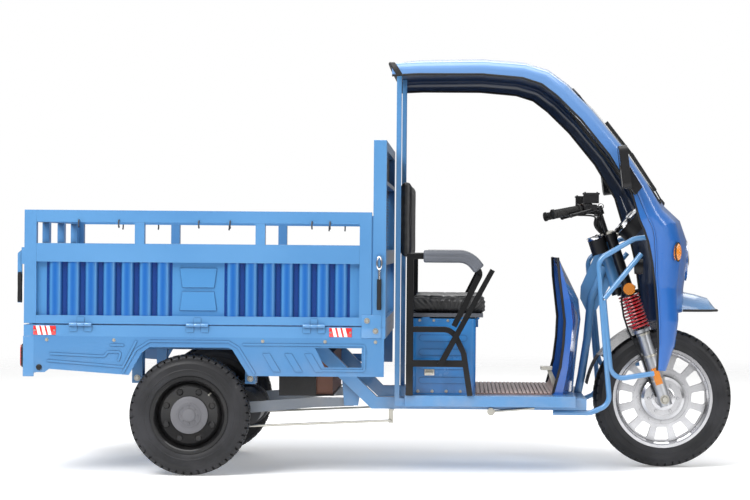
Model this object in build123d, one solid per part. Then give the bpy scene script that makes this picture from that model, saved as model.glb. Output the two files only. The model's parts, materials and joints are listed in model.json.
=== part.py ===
from build123d import *
import math
import os

# Electric cargo tricycle, in millimetres. +X forward, +Y to the rider's left, +Z up,
# origin on the ground under the middle of the whole length and width.

# Clearances
running_gap = 0.3
seat_clear = 0.3
joint_gap = 0.3
bead_gap = 0.3
bearing_gap = 0.5

# Wheels
wheelbase = 2026.0
front_axle_x = 1219.0
rear_track = 900.0
front_tyre_r = 306.0
front_tyre_w = 106.0
front_bead_r = 211.0
front_rim_half_w = 41.5
rear_tyre_r = 254.0
rear_tyre_w = 92.0
rear_bead_r = 153.0
rear_rim_half_w = 36.0
rim_lip_h = 9.0
rim_lip_t = 5.0
rim_well_depth = 8.0
hub_cap_r = 78.0
hub_cap_t = 14.0
hub_depth = 48.0
hub_boss_r = 60.0
rim_dish_y = 16.0
dish_step = 6.0
dish_ring_r = 118.0
rim_lobe_count = 8
rim_lobe_r = 18.0
rim_lobe_ring_r = 104.0
rim_lobe_h = 9.0
hub_window_count = 12
hub_window_inner_w = 42.0
hub_window_outer_w = 66.0
hub_window_inner_r = 131.0
hub_window_outer_r = 189.0
hub_window_round = 8.0
front_drum_r = 95.0
front_drum_half_w = 58.0
front_drum_round = 12.0
spoke_t = 22.0
rear_stub_r = 18.0
front_pin_r = 8.0

# Load bed
bed_rear_x = -1496.0
bed_front_x = 11.0
bed_width = 1000.0
floor_z = 628.0
base_beam_h = 47.0
base_beam_w = 50.0
floor_sheet_t = 4.0
floor_liner_t = 2.0
floor_member_count = 4
floor_member_w = 40.0
board_gap = 6.0
board_h = 473.0
board_t = 30.0
board_post_w = 50.0
top_rail_h = 50.0
open_rail_gap = 89.0
mid_rail_h = 77.0
bottom_rail_h = 34.0
stake_w = 40.0
flute_pitch = 75.0
flute_valley = 17.0
flute_count = 7
flute_depth = 18.0
flute_sheet_t = 3.0
panel_inset = 3.0
centre_plate_w = 217.0
emboss_h = 5.0
emboss_taper = 20.0
hinge_r = 7.0
hinge_pin_r = 3.0
hinge_len = 92.0
hinge_leaf_t = 3.0
hinge_leaf_h = 30.0
hinge_offset = 8.0
knuckle_gap = 1.0
headboard_depth = 54.0
headboard_h = 781.0
headboard_post_w = 54.0
headboard_foot_h = 34.0
headboard_mid_z = 259.0
headboard_mid_h = 62.0
headboard_divider_z = 596.0
headboard_divider_h = 18.0
headboard_top_h = 40.0
headboard_sheet_t = 4.0
headboard_slat_count = 9
headboard_slat_w = 30.0
headboard_slat_t = 25.0
skirt_t = 3.0
skirt_h = 160.0
skirt_bead_w = 9.0
skirt_bead_h = 3.0
skirt_bead_bend = 10.0
arch_top_z = 538.0
arch_top_len = 329.0
arch_foot_len = 500.0
arch_bead_away = 25.0
rear_panel_h = 169.0
rear_panel_depth = 43.0
plate_hole_pitch = 145.0
plate_hole_r = 3.2
tail_lamp_w = 140.0
tail_lamp_h = 90.0
tail_lamp_t = 18.0
tail_lamp_from_edge = 30.0
tail_lamp_round = 12.0
latch_z = 915.0
latch_w = 25.0
latch_grip_r = 9.0
latch_grip_len = 130.0
latch_reach = 29.0

# Chassis
wheel_to_rail = 130.0
rail_w = 40.0
rail_h = 50.0
bed_rail_h = 60.0
member_w = 40.0
step_rear_x = -290.0
step_front_x = -30.0
step_shift = 22.0
footboard_top_z = 337.0
footboard_t = 12.0
footboard_rear_x = 90.0
footboard_front_x = 813.0
sill_h = 46.0
sill_w = 30.0
mat_half_w = 320.0
mat_t = 8.0
mat_to_shield = 4.0
column_ahead = 50.0
column_r = 18.0
column_bend = 40.0
gusset_t = 8.0

# Rear axle, springs and drive
axle_tube_r = 32.0
spring_half_len = 240.0
spring_eye_z = 399.0
spring_eye_r = 18.0
spring_w = 50.0
leaf_t = 8.0
leaf_count = 4
leaf_step = 0.2
hanger_t = 8.0
hanger_w = 44.0
brake_plate_r = 95.0
brake_plate_t = 8.0
wheel_to_plate = 52.0
diff_r = 90.0
diff_half_w = 70.0
motor_r = 80.0
motor_len = 220.0
motor_ahead = 187.0
drive_case_w = 50.0
radius_arm_t = 12.0
brake_shaft_r = 10.0
brake_shaft_x = 31.0
brake_crank_len = 48.0
brake_pull_r = 5.0
pedal_rod_x = (456.0, 640.0)
pedal_eye_r = 16.0
battery_rear_x = -450.0
battery_front_x = -215.0
battery_low_z = 330.0
battery_h = 180.0
tray_t = 6.0
tray_wall = 4.0
battery_side_gap = 12.0

# Seat and its surround
seat_box_rear_x = 110.0
seat_box_front_x = 390.0
seat_box_half_w = 330.0
seat_box_h = 323.0
seat_box_wall = 3.0
seat_box_round = 26.0
seat_bead_h = 24.0
seat_bead_t = 4.0
seat_base_t = 16.0
seat_lid_gap = 6.0
lid_overhang = 20.0
lid_hinge_r = 5.6
lid_hinge_ahead = 10.0
lid_lug_w = 40.0
lid_ear_w = 38.0
lid_ear_gap = 2.0
cushion_rear_x = 102.0
cushion_front_x = 442.0
cushion_half_w = 300.0
cushion_h = 72.0
cushion_round = 28.0
backrest_t = 41.0
backrest_bottom_z = 914.0
backrest_h = 333.0
backrest_half_w = 360.0
backrest_round = 40.0
pillar_size = 21.0
pillar_x = 47.0
pillar_y = 390.0
arm_gap = 58.0
arm_tube = 24.0
arm_post_x = 95.0
arm_post_w = 30.0
arm_z = 925.0
arm_pad_w = 53.0
arm_pad_h = 52.0
arm_pad_round = 14.0
lever_t = 8.0
lever_clear = 6.0

# Fork and handlebar; heights run along the fork from the wheel axle
rake_deg = 18.5
fork_offset = 40.0
leg_y = 100.0
stanchion_r = 16.0
shroud_r = 23.0
lower_leg_r = 28.0
lower_leg_drop = 30.0
stanchion_low = 120.0
fork_spring_r = 40.0
fork_spring_wire_r = 4.5
fork_spring_turns = 10
fork_spring_low = 323.0
fork_spring_len = 158.0
spring_seat_t = 14.0
crown_t = 28.0
crown_round = 26.0
crown_gap = 212.0
head_tube_r = 28.0
stem_r = 14.0
stem_boss_r = 30.0
bar_rise = 110.0
bar_back = 12.0
bar_r = 11.0
riser_r = 12.0
riser_y = 40.0
clamp_size = 38.0
clamp_w = 30.0
grip_r = 17.0
grip_len = 136.0
pod_r = 22.0
pod_len = 44.0
reflector_r = 26.0
reflector_t = 10.0
dial_r = 66.0
dial_h = 75.0
dial_tilt = -30.0
dial_rim_r = 70.0
dial_rim_h = 12.0
key_housing_r = 38.0
key_housing_h = 78.0
key_housing_y = -75.0
mudguard_gap = 34.0
mudguard_t = 3.0
mudguard_w = 116.0
mudguard_skirt = 34.0
mudguard_start_deg = 88.0
mudguard_end_deg = 146.0
flap_end_deg = 170.0
coil_steps = 10

# Front body
tube_r = 11.0
tube_bend = 55.0
guard_out = 10.0
shell_t = 4.0
hood_open = 60.0
screen_half_w = 375.0
screen_cut = 130.0
screen_round = 40.0
screen_top = (812.0, 1656.0)
screen_foot = (1196.0, 1176.0)
headlamp_x = 1268.0
headlamp_z = 912.0
headlamp_r = 82.0
headlamp_barrel = 50.0
headlamp_dome = 16.0
wheel_tunnel_half_w = 265.0
wheel_tunnel_top_z = 690.0
mirror_half_span = 550.0
mirror_w = 80.0
mirror_h = 180.0
mirror_t = 34.0
mirror_round = 24.0
mirror_tilt = -7.0
turn_lamp_len = 76.0
turn_lamp_w = 32.0
horn_r = 33.0
horn_t = 34.0

# Worked out from the sizes above
rear_axle_x = front_axle_x - wheelbase
bed_half_w = bed_width / 2
base_z = floor_z - base_beam_h
board_bottom_z = floor_z + board_gap
headboard_rear_x = bed_front_x - headboard_depth
skirt_bottom_z = base_z - skirt_h
rear_panel_bottom_z = base_z - rear_panel_h
rail_y = rear_track / 2 - wheel_to_rail
rail_in_y = rail_y - rail_w / 2
rail_out_y = rail_y + rail_w / 2
foot_rail_z = footboard_top_z - footboard_t
foot_rail_low = foot_rail_z - rail_h
seat_box_top_z = footboard_top_z + seat_box_h
lid_hinge_x = seat_box_front_x + lid_hinge_ahead
lid_low_z = seat_box_top_z + seat_lid_gap
arm_inner_y = seat_box_half_w + arm_gap
arm_outer_y = arm_inner_y + arm_tube
arm_mid_y = arm_inner_y + arm_tube / 2
footboard_half_w = arm_mid_y
spring_pad_z = rear_tyre_r + axle_tube_r + dish_step
fork_spring_high = fork_spring_low + fork_spring_len
crown_low = fork_spring_high + spring_seat_t
crown_high = crown_low + crown_t + crown_gap
bar_height = crown_high + crown_t + bar_rise
mudguard_r = front_tyre_r + mudguard_gap
guard_y = rail_y + guard_out
rake = math.radians(rake_deg)
fork_frame = Plane(
    origin=(front_axle_x, 0, front_tyre_r),
    x_dir=(math.cos(rake), 0, math.sin(rake)),
    z_dir=(-math.sin(rake), 0, math.cos(rake)),
).location

nodes = {}


# Basic forms
def block(x0, x1, y0, y1, z0, z1):
    centre = Pos((x0 + x1) / 2, (y0 + y1) / 2, (z0 + z1) / 2)
    return centre * Box(x1 - x0, y1 - y0, z1 - z0)


def side_plate(outline, y0, y1):
    """A plate whose (x, z) outline shows from the side, from y0 to y1."""
    face = make_face(Polyline(*outline, close=True))
    return extrude(Plane.XZ.offset(-y1) * face, amount=y1 - y0)


def swept(section, points, bend):
    """A bar of one section along points, with rounded bends; its section's width lies along Y."""
    path = FilletPolyline(*points, radius=bend)
    start = Plane(origin=path @ 0, x_dir=(0, 1, 0), z_dir=path % 0)
    return sweep(start * section, path=path)


def tube(points, radius, bend):
    path = FilletPolyline(*points, radius=bend)
    start = Plane(origin=path @ 0, z_dir=path % 0)
    return sweep(start * Circle(radius), path=path)


def rod(start, end, radius):
    line = Line(start, end)
    return sweep(Plane(origin=line @ 0, z_dir=line % 0) * Circle(radius), path=line)


def disc(x, y0, y1, z, radius):
    """A cylinder across the machine from y0 to y1."""
    return Pos(x, (y0 + y1) / 2, z) * Rot(90, 0, 0) * Cylinder(radius, abs(y1 - y0))


def along_x(radius, length):
    """A cylinder lying along X, centred on the origin."""
    return Rot(0, 90, 0) * Cylinder(radius, length)


def turned(profile):
    """A ring turned about the Y axis from (radius, y) corners."""
    return revolve(make_face(Polyline(*profile, close=True)), Axis.Y)


def arc_strip(inner_r, outer_r, width, start_deg, end_deg):
    """A curved strip about the Y axis; angles go from +X up towards +Z."""
    half = width / 2
    corners = [(inner_r, -half), (outer_r, -half), (outer_r, half), (inner_r, half)]
    face = make_face(Polyline(*corners, close=True))
    strip = revolve(face, Axis((0, 0, 0), (0, -1, 0)), end_deg - start_deg)
    return Rot(0, -start_deg, 0) * strip


def coil(radius, wire_r, low, high, turns):
    """A coil spring about Z, its round wire drawn as a six-sided bar."""
    steps = turns * coil_steps
    points = []
    for index in range(steps + 1):
        angle = 2 * math.pi * index / coil_steps
        rise = low + wire_r + (high - low - 2 * wire_r) * index / steps
        points.append((radius * math.cos(angle), radius * math.sin(angle), rise))
    path = Polyline(*points)
    section = Plane(origin=path @ 0, z_dir=path % 0) * RegularPolygon(wire_r, 6)
    return sweep(section, path=path, transition=Transition.RIGHT)


def other_side(shape):
    return mirror(shape, about=Plane.XZ)


def pair(shape):
    return shape + other_side(shape)


def fork_part(x, y, z, shape):
    return fork_frame * Pos(x, y, z) * shape


def on_fork_line(x, z):
    """Machine (x, z) of a point in the fork's own frame."""
    return (
        front_axle_x + x * math.cos(rake) - z * math.sin(rake),
        front_tyre_r + x * math.sin(rake) + z * math.cos(rake),
    )


# Wheels
# share of the section's depth above the bead, share of its half width
tyre_steps = [(0.0, 0.70), (0.30, 0.94), (0.60, 1.0), (0.88, 0.82), (1.0, 0.44)]


def tyre(radius, width, bead_r):
    depth = radius - bead_r
    right = [(bead_r + depth * up, width / 2 * out) for up, out in tyre_steps]
    left = [(r, -y) for r, y in reversed(right)]
    return turned(right + left)


def rear_wheel(side_sign):
    """Tyre, pressed steel rim and hub cap; +Y faces outwards before placing."""
    half = rear_rim_half_w
    seat_r = rear_bead_r - bead_gap
    well_r = seat_r - rim_well_depth
    lip_r = rear_bead_r + rim_lip_h
    bore = rear_stub_r + running_gap
    face_y = rim_dish_y + dish_step
    rim = turned([
        (bore, -hub_depth), (hub_boss_r, -hub_depth), (hub_boss_r + dish_step, rim_dish_y - dish_step),
        (dish_ring_r, rim_dish_y + dish_step), (dish_ring_r + 2 * rim_well_depth, rim_dish_y - rim_well_depth),
        (well_r, -half), (well_r + rim_lip_t, -half - rim_lip_t), (lip_r, -half - rim_lip_t),
        (lip_r, -half - 2),
        (seat_r, -half - 2), (seat_r, half + 2), (lip_r, half + 2), (lip_r, half + rim_lip_t),
        (well_r + rim_lip_t, half + rim_lip_t), (well_r, half), (dish_ring_r + 2 * rim_well_depth, rim_dish_y),
        (dish_ring_r, rim_dish_y + 2 * dish_step), (hub_boss_r, face_y), (bore, face_y),
    ])
    lobe = Rot(-90, 0, 0) * Cone(rim_lobe_r, rim_lobe_r * 0.6, rim_lobe_h)
    for index in range(rim_lobe_count):
        turn = Rot(0, 360 / rim_lobe_count * (index + 0.5), 0)
        rim += turn * Pos(rim_lobe_ring_r, face_y + rim_lobe_h / 2, 0) * lobe
    cap = turned([
        (0, face_y), (hub_boss_r, face_y), (hub_cap_r, face_y + 0.6 * hub_cap_t),
        (hub_cap_r - 8, face_y + 0.8 * hub_cap_t), (0.66 * hub_cap_r, face_y + hub_cap_t),
        (0, face_y + hub_cap_t),
    ])
    place = Pos(rear_axle_x, rear_track / 2, rear_tyre_r)
    shapes = {"rear_tyre": tyre(rear_tyre_r, rear_tyre_w, rear_bead_r), "rear_rim": rim, "rear_hub_cap": cap}
    pieces = {name: place * shape for name, shape in shapes.items()}
    if side_sign < 0:
        pieces = {name: other_side(shape) for name, shape in pieces.items()}
    return pieces


def hub_window():
    """Rounded wedge through the cast disc, on the +X side."""
    corners = [
        (hub_window_inner_r, -hub_window_inner_w / 2), (hub_window_inner_r, hub_window_inner_w / 2),
        (hub_window_outer_r, hub_window_outer_w / 2), (hub_window_outer_r, -hub_window_outer_w / 2),
    ]
    face = make_face(Polyline(*corners, close=True))
    face = fillet(face.vertices(), hub_window_round)
    return extrude(Plane.XZ * face, amount=front_rim_half_w, both=True)


def front_wheel():
    """Tyre and cast rim with a drum in its middle and a ring of windows."""
    half = front_rim_half_w
    seat_r = front_bead_r - bead_gap
    well_r = seat_r - rim_well_depth
    lip_r = front_bead_r + rim_lip_h
    bore = front_pin_r + running_gap
    drum_y = front_drum_half_w
    one_side = [
        (bore, drum_y), (front_drum_r - front_drum_round, drum_y),
        (front_drum_r, drum_y - 0.6 * front_drum_round),
        (front_drum_r, spoke_t / 2), (well_r - rim_well_depth, spoke_t / 2), (well_r, half),
        (well_r + rim_lip_t, half + rim_lip_t), (lip_r, half + rim_lip_t), (lip_r, half + 2),
        (seat_r, half + 2),
    ]
    rim = turned(one_side + [(r, -y) for r, y in reversed(one_side)])
    for index in range(hub_window_count):
        rim -= Rot(0, 360 / hub_window_count * index, 0) * hub_window()
    place = Pos(front_axle_x, 0, front_tyre_r)
    return {"front_rim": place * rim, "front_tyre": place * tyre(front_tyre_r, front_tyre_w, front_bead_r)}


# Load bed
side_length = headboard_rear_x - board_gap - bed_rear_x
side_mid_x = bed_rear_x + side_length / 2
tail_length = bed_width - 2 * (board_t + board_gap)
hinge_z = floor_z + board_gap / 2
side_hinges = (-486.0, 0.0, 486.0)
tail_hinges = (-300.0, 300.0)
side_stakes = (-244.0, 259.0)
tail_stakes = (-150.0, 150.0)
mid_rail_top = board_h - top_rail_h - open_rail_gap
panel_high = mid_rail_top - mid_rail_h


def bed_floor():
    beam_in = bed_half_w - base_beam_w
    under_sheet = floor_z - floor_sheet_t
    inner_rear_x = bed_rear_x + base_beam_w
    inside = bed_front_x - base_beam_w - inner_rear_x
    frame = block(bed_rear_x, bed_front_x, -bed_half_w, bed_half_w, base_z, floor_z)
    frame -= block(inner_rear_x, inner_rear_x + inside, -beam_in, beam_in, base_z, under_sheet)
    for index in range(1, floor_member_count + 1):
        x = inner_rear_x + inside * index / (floor_member_count + 1)
        frame += block(x - floor_member_w / 2, x + floor_member_w / 2, -beam_in, beam_in, base_z, under_sheet)
    liner_half_w = bed_half_w - board_t - board_gap
    liner = block(
        bed_rear_x + board_t + board_gap, headboard_rear_x - board_gap, -liner_half_w, liner_half_w,
        floor_z, floor_z + floor_liner_t,
    )
    return frame + liner


def side_flutes():
    """Left foot of every flute on a side board, either side of the plain centre plate."""
    starts = (-centre_plate_w / 2 - flute_pitch * flute_count, centre_plate_w / 2)
    return [start + flute_pitch * index for start in starts for index in range(flute_count)]


def tail_flutes():
    count = int((tail_length - 2 * board_post_w) // flute_pitch)
    return [flute_pitch * (index - count / 2) for index in range(count)]


def fluted_sheet(length, feet):
    """Sheet standing on z = 0 along X, its half-round flutes rising towards +Y from y = 0."""
    half = length / 2
    lines = [Line((end, 0), (end, -flute_sheet_t)) for end in (-half, half)]
    for face_y in (0.0, -flute_sheet_t):
        x = -half
        for foot in feet:
            left = foot + flute_valley / 2
            right = foot + flute_pitch - flute_valley / 2
            lines.append(Line((x, face_y), (left, face_y)))
            crest = ((left + right) / 2, face_y + flute_depth)
            lines.append(ThreePointArc((left, face_y), crest, (right, face_y)))
            x = right
        lines.append(Line((x, face_y), (half, face_y)))
    return extrude(make_face(lines), amount=panel_high - bottom_rail_h)


def centre_embossings():
    """Two facing trapezoids raised on the plain plate in the middle of a side board."""
    height = panel_high - bottom_rail_h
    raised = Part()
    # low edge, high edge, half width of the low edge, half width of the high edge, as shares
    for low, high, foot, top in ((0.53, 0.90, 0.31, 0.36), (0.10, 0.46, 0.36, 0.31)):
        corners = [
            (-foot * centre_plate_w, low * height), (foot * centre_plate_w, low * height),
            (top * centre_plate_w, high * height), (-top * centre_plate_w, high * height),
        ]
        face = Plane.XZ * make_face(Polyline(*corners, close=True))
        raised += extrude(face, amount=-emboss_h, taper=emboss_taper)
    return raised


def board_frame(length, stakes, hinges):
    """Tubes and hinges of one board along X on its bottom edge, outer face at y = 0.

    The tubes stay separate solids that meet with a hairline joint, as the welded ones do.
    """
    half = length / 2
    inner = half - board_post_w - joint_gap
    bottom = block(-inner, inner, -board_t, 0, 0, bottom_rail_h)
    for x in hinges:
        bottom += Pos(x, hinge_offset, hinge_z - board_bottom_z) * board_hinge()
    tubes = [bottom]
    for low, high in ((panel_high, mid_rail_top), (board_h - top_rail_h, board_h)):
        tubes.append(block(-inner, inner, -board_t, 0, low, high))
    for end in (-half, half - board_post_w):
        tubes.append(block(end, end + board_post_w, -board_t, 0, 0, board_h))
    stake_low, stake_high = mid_rail_top + joint_gap, board_h - top_rail_h - joint_gap
    for x in stakes:
        tubes.append(block(x - stake_w / 2, x + stake_w / 2, -board_t, 0, stake_low, stake_high))
    return Compound(tubes)


def hinge_half(spans, leaf_low, leaf_high):
    """Knuckles and leaf of one half of a hinge along X, with its axis at y = 0, z = 0."""
    half = Part()
    for low, high in spans:
        half += Pos((low + high) / 2, 0, 0) * along_x(hinge_r, high - low)
        half += block(low, high, -hinge_offset, hinge_leaf_t - hinge_offset, leaf_low, leaf_high)
        half += block(low, high, -hinge_offset, 0, -hinge_leaf_t / 2, hinge_leaf_t / 2)
    return half


def board_hinge():
    end = hinge_len / 6 - knuckle_gap
    return hinge_half([(-end, end)], 0, hinge_leaf_h) - along_x(hinge_pin_r + running_gap, hinge_len)


def bed_hinge():
    start, end = hinge_len / 6, hinge_len / 2
    return hinge_half([(-end, -start), (start, end)], -hinge_leaf_h, 0) + along_x(hinge_pin_r, hinge_len)


def on_side(shape, side_sign):
    placed = Pos(side_mid_x, bed_half_w, board_bottom_z) * shape
    return placed if side_sign > 0 else other_side(placed)


def on_tail(shape):
    return Pos(bed_rear_x, 0, board_bottom_z) * Rot(0, 0, 90) * shape


def panel_place(sheet):
    return Pos(0, -panel_inset - flute_depth, bottom_rail_h) * sheet


def bed_hinges():
    """The bed's half of every board hinge, with its pins."""
    leaves = Part()
    for x in side_hinges:
        leaves += pair(Pos(side_mid_x + x, bed_half_w + hinge_offset, hinge_z) * bed_hinge())
    for y in tail_hinges:
        leaves += Pos(bed_rear_x - hinge_offset, y, hinge_z) * Rot(0, 0, 90) * bed_hinge()
    return leaves


def rear_latch(side_sign):
    """Draw latch on the side board's rear edge: bracket, hasp and a hanging grip."""
    y0, y1 = bed_half_w - latch_w, bed_half_w
    near_x, far_x = bed_rear_x - 0.4 * latch_reach, bed_rear_x - latch_reach
    bracket = block(near_x, bed_rear_x, y0, y1, latch_z - 35, latch_z + 35)
    hasp = side_plate(
        [(near_x, latch_z + 25), (far_x, latch_z + 10), (far_x, latch_z - 75), (near_x, latch_z - 75)],
        y0 + latch_w / 4, y1 - latch_w / 4,
    )
    grip_z = latch_z - 75 - latch_grip_len / 2 + latch_grip_r
    grip = Pos(far_x + latch_grip_r, (y0 + y1) / 2, grip_z) * Cylinder(latch_grip_r, latch_grip_len)
    latch = bracket + hasp + grip
    return latch if side_sign > 0 else other_side(latch)


def front_latches():
    """Draw latches on the outer face of the headboard's posts."""
    x = bed_front_x - headboard_post_w / 2
    plate = block(x - 14, x + 14, bed_half_w, bed_half_w + 6, latch_z - 55, latch_z + 15)
    hook = Pos(x, bed_half_w + latch_grip_r, latch_z - 35) * Cylinder(5, 100)
    grip_z = latch_z - 85 - latch_grip_len / 2
    grip = Pos(x, bed_half_w + latch_grip_r, grip_z) * Cylinder(latch_grip_r - 1, latch_grip_len)
    return pair(plate + hook + grip)


def headboard():
    """Posts and rails with slats below, and thin sheets in the two upper bays."""
    x0, x1 = headboard_rear_x, bed_front_x
    inner = bed_half_w - headboard_post_w
    mid_z = floor_z + headboard_mid_z
    divider_z = floor_z + headboard_divider_z
    top_z = floor_z + headboard_h
    frame = pair(block(x0, x1, inner, bed_half_w, floor_z, top_z))
    # low edge and height of each rail
    rails = [
        (floor_z, headboard_foot_h), (mid_z, headboard_mid_h), (divider_z, headboard_divider_h),
        (top_z - headboard_top_h, headboard_top_h),
    ]
    for low, height in rails:
        frame += block(x0, x1, -inner, inner, low, low + height)
    slat_x = x0 + (headboard_depth - headboard_slat_t) / 2
    for index in range(1, headboard_slat_count + 1):
        y = -inner + 2 * inner * index / (headboard_slat_count + 1)
        frame += block(
            slat_x, slat_x + headboard_slat_t, y - headboard_slat_w / 2, y + headboard_slat_w / 2,
            floor_z + headboard_foot_h, mid_z,
        )
    sheets = Part()
    sheet_x = x0 + (headboard_depth - headboard_sheet_t) / 2
    bays = [(mid_z + headboard_mid_h, divider_z), (divider_z + headboard_divider_h, top_z - headboard_top_h)]
    for low, high in bays:
        sheets += block(sheet_x, sheet_x + headboard_sheet_t, -inner, inner, low, high)
    return frame, sheets


def skirt_outline():
    """(x, z) corners of a skirt: flat top, stepped rear foot, wheel arch and plain front."""
    rear_x = bed_rear_x + rear_panel_depth
    low = skirt_bottom_z
    foot, top = arch_foot_len / 2, arch_top_len / 2
    return [
        (rear_x, base_z), (rear_x, low + 9), (rear_x + 45, low + 9), (rear_x + 64, low + 23),
        (rear_axle_x - foot, low), (rear_axle_x - top - 32, arch_top_z - 23), (rear_axle_x - top, arch_top_z),
        (rear_axle_x + top, arch_top_z), (rear_axle_x + top + 17, arch_top_z - 9), (rear_axle_x + foot, low),
        (bed_front_x - 5, low), (bed_front_x - 5, base_z),
    ]


# Raised lines pressed into each skirt, as (x from the rear axle, z above the skirt's foot)
skirt_lines = [
    [(-580, 87), (-352, 77), (-338, 96), (-281, 96), (-295, 58)],
    [(-328, 125), (-271, 125)],
    [(-590, 58), (-276, 34)],
    [(-219, 144), (-276, 30)],
    [(225, 131), (732, 131), (732, 25), (552, 25)],
]
skirt_window = [(526, 119), (720, 119), (720, 38), (565, 38)]
skirt_rib_feet = (307.0, 399.0, 482.0)


def arch_line():
    """Raised line that follows the wheel arch."""
    foot, top = arch_foot_len / 2 + arch_bead_away, arch_top_len / 2
    high = arch_top_z - skirt_bottom_z
    return [
        (-foot, 8), (-top - 32 - arch_bead_away, high - 12), (-top, high + arch_bead_away),
        (top, high + arch_bead_away), (top + 17 + arch_bead_away, high), (foot, 8),
    ]


def skirt_bead(line):
    """One raised line on the left skirt's outer face."""
    points = [(rear_axle_x + x, skirt_bottom_z + z) for x, z in line]
    path = FilletPolyline(*points, radius=skirt_bead_bend) if len(points) > 2 else Line(*points)
    return extrude(Plane.XZ.offset(-bed_half_w) * trace(path, skirt_bead_w), amount=-skirt_bead_h)


def bed_skirt():
    """Left skirt: sheet with the wheel arch, a window, slanted ribs and raised lines."""
    y0, y1 = bed_half_w - skirt_t, bed_half_w
    skirt = side_plate(skirt_outline(), y0, y1)
    skirt -= side_plate([(rear_axle_x + x, skirt_bottom_z + z) for x, z in skirt_window], y0, y1)
    for foot in skirt_rib_feet:
        x, z = rear_axle_x + foot, skirt_bottom_z
        rib = [(x, z + 94), (x + 30, z + 94), (x + 75, z + 19), (x + 45, z + 19)]
        skirt += side_plate(rib, y1, y1 + skirt_bead_h)
    for line in skirt_lines + [arch_line()]:
        skirt += skirt_bead(line)
    return skirt


def rear_panel():
    x0, x1 = bed_rear_x - skirt_t, bed_rear_x + rear_panel_depth
    shell = block(x0, x1, -bed_half_w, bed_half_w, rear_panel_bottom_z, base_z)
    inner = bed_half_w - skirt_t
    shell -= block(bed_rear_x, x1, -inner, inner, rear_panel_bottom_z, base_z - skirt_t)
    plate_z = (rear_panel_bottom_z + base_z) / 2
    for y in (-plate_hole_pitch / 2, plate_hole_pitch / 2):
        shell -= Pos(x0, y, plate_z) * along_x(plate_hole_r, rear_panel_depth)
    return shell


def tail_lamps():
    x = bed_rear_x - skirt_t
    z = (rear_panel_bottom_z + base_z) / 2
    y1 = bed_half_w - tail_lamp_from_edge
    lamp = block(x - tail_lamp_t, x, y1 - tail_lamp_w, y1, z - tail_lamp_h / 2, z + tail_lamp_h / 2)
    return pair(fillet(lamp.edges().filter_by(Axis.X), tail_lamp_round))


# Chassis
column_x = footboard_front_x + column_ahead - member_w / 2 - 1


def rail_outline():
    rear = bed_rear_x + base_beam_w + 10
    front = footboard_front_x + column_ahead
    under = base_z - bed_rail_h
    return [
        (rear, base_z), (step_rear_x, base_z), (step_front_x, foot_rail_z), (front, foot_rail_z),
        (front, foot_rail_low), (step_front_x - step_shift, foot_rail_low), (step_rear_x - step_shift, under),
        (rear, under),
    ]


def head_tube():
    length = crown_gap - 2 * bearing_gap
    mid = crown_low + crown_t + crown_gap / 2
    ring = Cylinder(head_tube_r, length) - Cylinder(stem_r + running_gap, length)
    return fork_part(-fork_offset, 0, mid, ring)


def chassis_frame():
    """Stepped rails, cross members, the steering column's tube with its gusset, and brackets."""
    frame = pair(side_plate(rail_outline(), rail_in_y, rail_out_y))
    # x of the middle, low edge and high edge of each cross member
    members = [
        (-1400.0, base_z - rail_h, base_z), (-1080.0, base_z - rail_h, base_z),
        (-520.0, base_z - rail_h, base_z),
        (140.0, foot_rail_low, foot_rail_z), (480.0, foot_rail_low, foot_rail_z),
        (column_x, foot_rail_low, foot_rail_z),
    ]
    for x, low, high in members:
        frame += block(x - member_w / 2, x + member_w / 2, -rail_in_y, rail_in_y, low, high)
    tube_back = -fork_offset - head_tube_r
    head_mid = crown_low + crown_t + crown_gap / 2
    top_x, top_z = on_fork_line(tube_back + 6, head_mid)
    frame += tube(
        [(top_x, 0, top_z), (column_x + 60, 0, 740), (column_x + 44, 0, 560), (column_x + 20, 0, 400),
         (column_x, 0, foot_rail_z - rail_h / 2)],
        column_r, column_bend,
    )
    gusset = [
        on_fork_line(tube_back + 2, head_mid + 85), on_fork_line(tube_back + 2, head_mid - 85),
        (column_x + 84, 690), (column_x + 40, 684), (column_x + 12, 742), (column_x + 14, 795),
    ]
    frame += side_plate(gusset, -gusset_t / 2, gusset_t / 2)
    arm_bracket = [(-180, 400), (-100, 350), (-110, 285), (-170, 285)]
    frame += pair(side_plate(arm_bracket, rail_in_y, rail_in_y + radius_arm_t))
    frame += spring_hangers()
    frame -= fork_part(-fork_offset, 0, head_mid, Cylinder(head_tube_r - 2, 2 * crown_gap))
    return frame + head_tube()


def footboard():
    half = footboard_half_w
    board = block(footboard_rear_x, footboard_front_x, -half, half, foot_rail_z, footboard_top_z)
    sill_low = footboard_top_z - sill_h
    return board + pair(block(footboard_rear_x, footboard_front_x, half - sill_w, half, sill_low, foot_rail_z))


def floor_mat():
    front_x = shield_table[0][1] - mat_to_shield
    return block(seat_box_front_x, front_x, -mat_half_w, mat_half_w, footboard_top_z, footboard_top_z + mat_t)


# z, x of the rear edge, x of the middle of the front, half width
shield_table = [
    (footboard_top_z, 722.0, 824.0, 300.0),
    (454.0, 752.0, 834.0, 302.0),
    (560.0, 765.0, 844.0, 304.0),
    (651.0, 769.0, 855.0, 304.0),
    (739.0, 759.0, 845.0, 300.0),
    (835.0, 747.0, 797.0, 284.0),
    (922.0, 741.0, 751.0, 250.0),
]
shield_flange = 0.4


def shield_form(inset):
    """Solid inside the leg shield's outer face, drawn in by inset and then open to the rear."""
    sections = []
    for z, rear_x, front_x, half_w in shield_table:
        half = half_w - inset
        side_x = rear_x + shield_flange * (front_x - rear_x)
        back_x = rear_x - 5 * inset
        lines = [
            Line((back_x, -half), (side_x, -half)), Line((side_x, half), (back_x, half)),
            ThreePointArc((side_x, -half), (front_x - inset, 0), (side_x, half)),
            Line((back_x, half), (back_x, -half)),
        ]
        sections.append(Plane.XY.offset(z) * make_face(lines))
    return loft(sections, ruled=True)


def leg_shield():
    return shield_form(0) - shield_form(shell_t)


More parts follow.
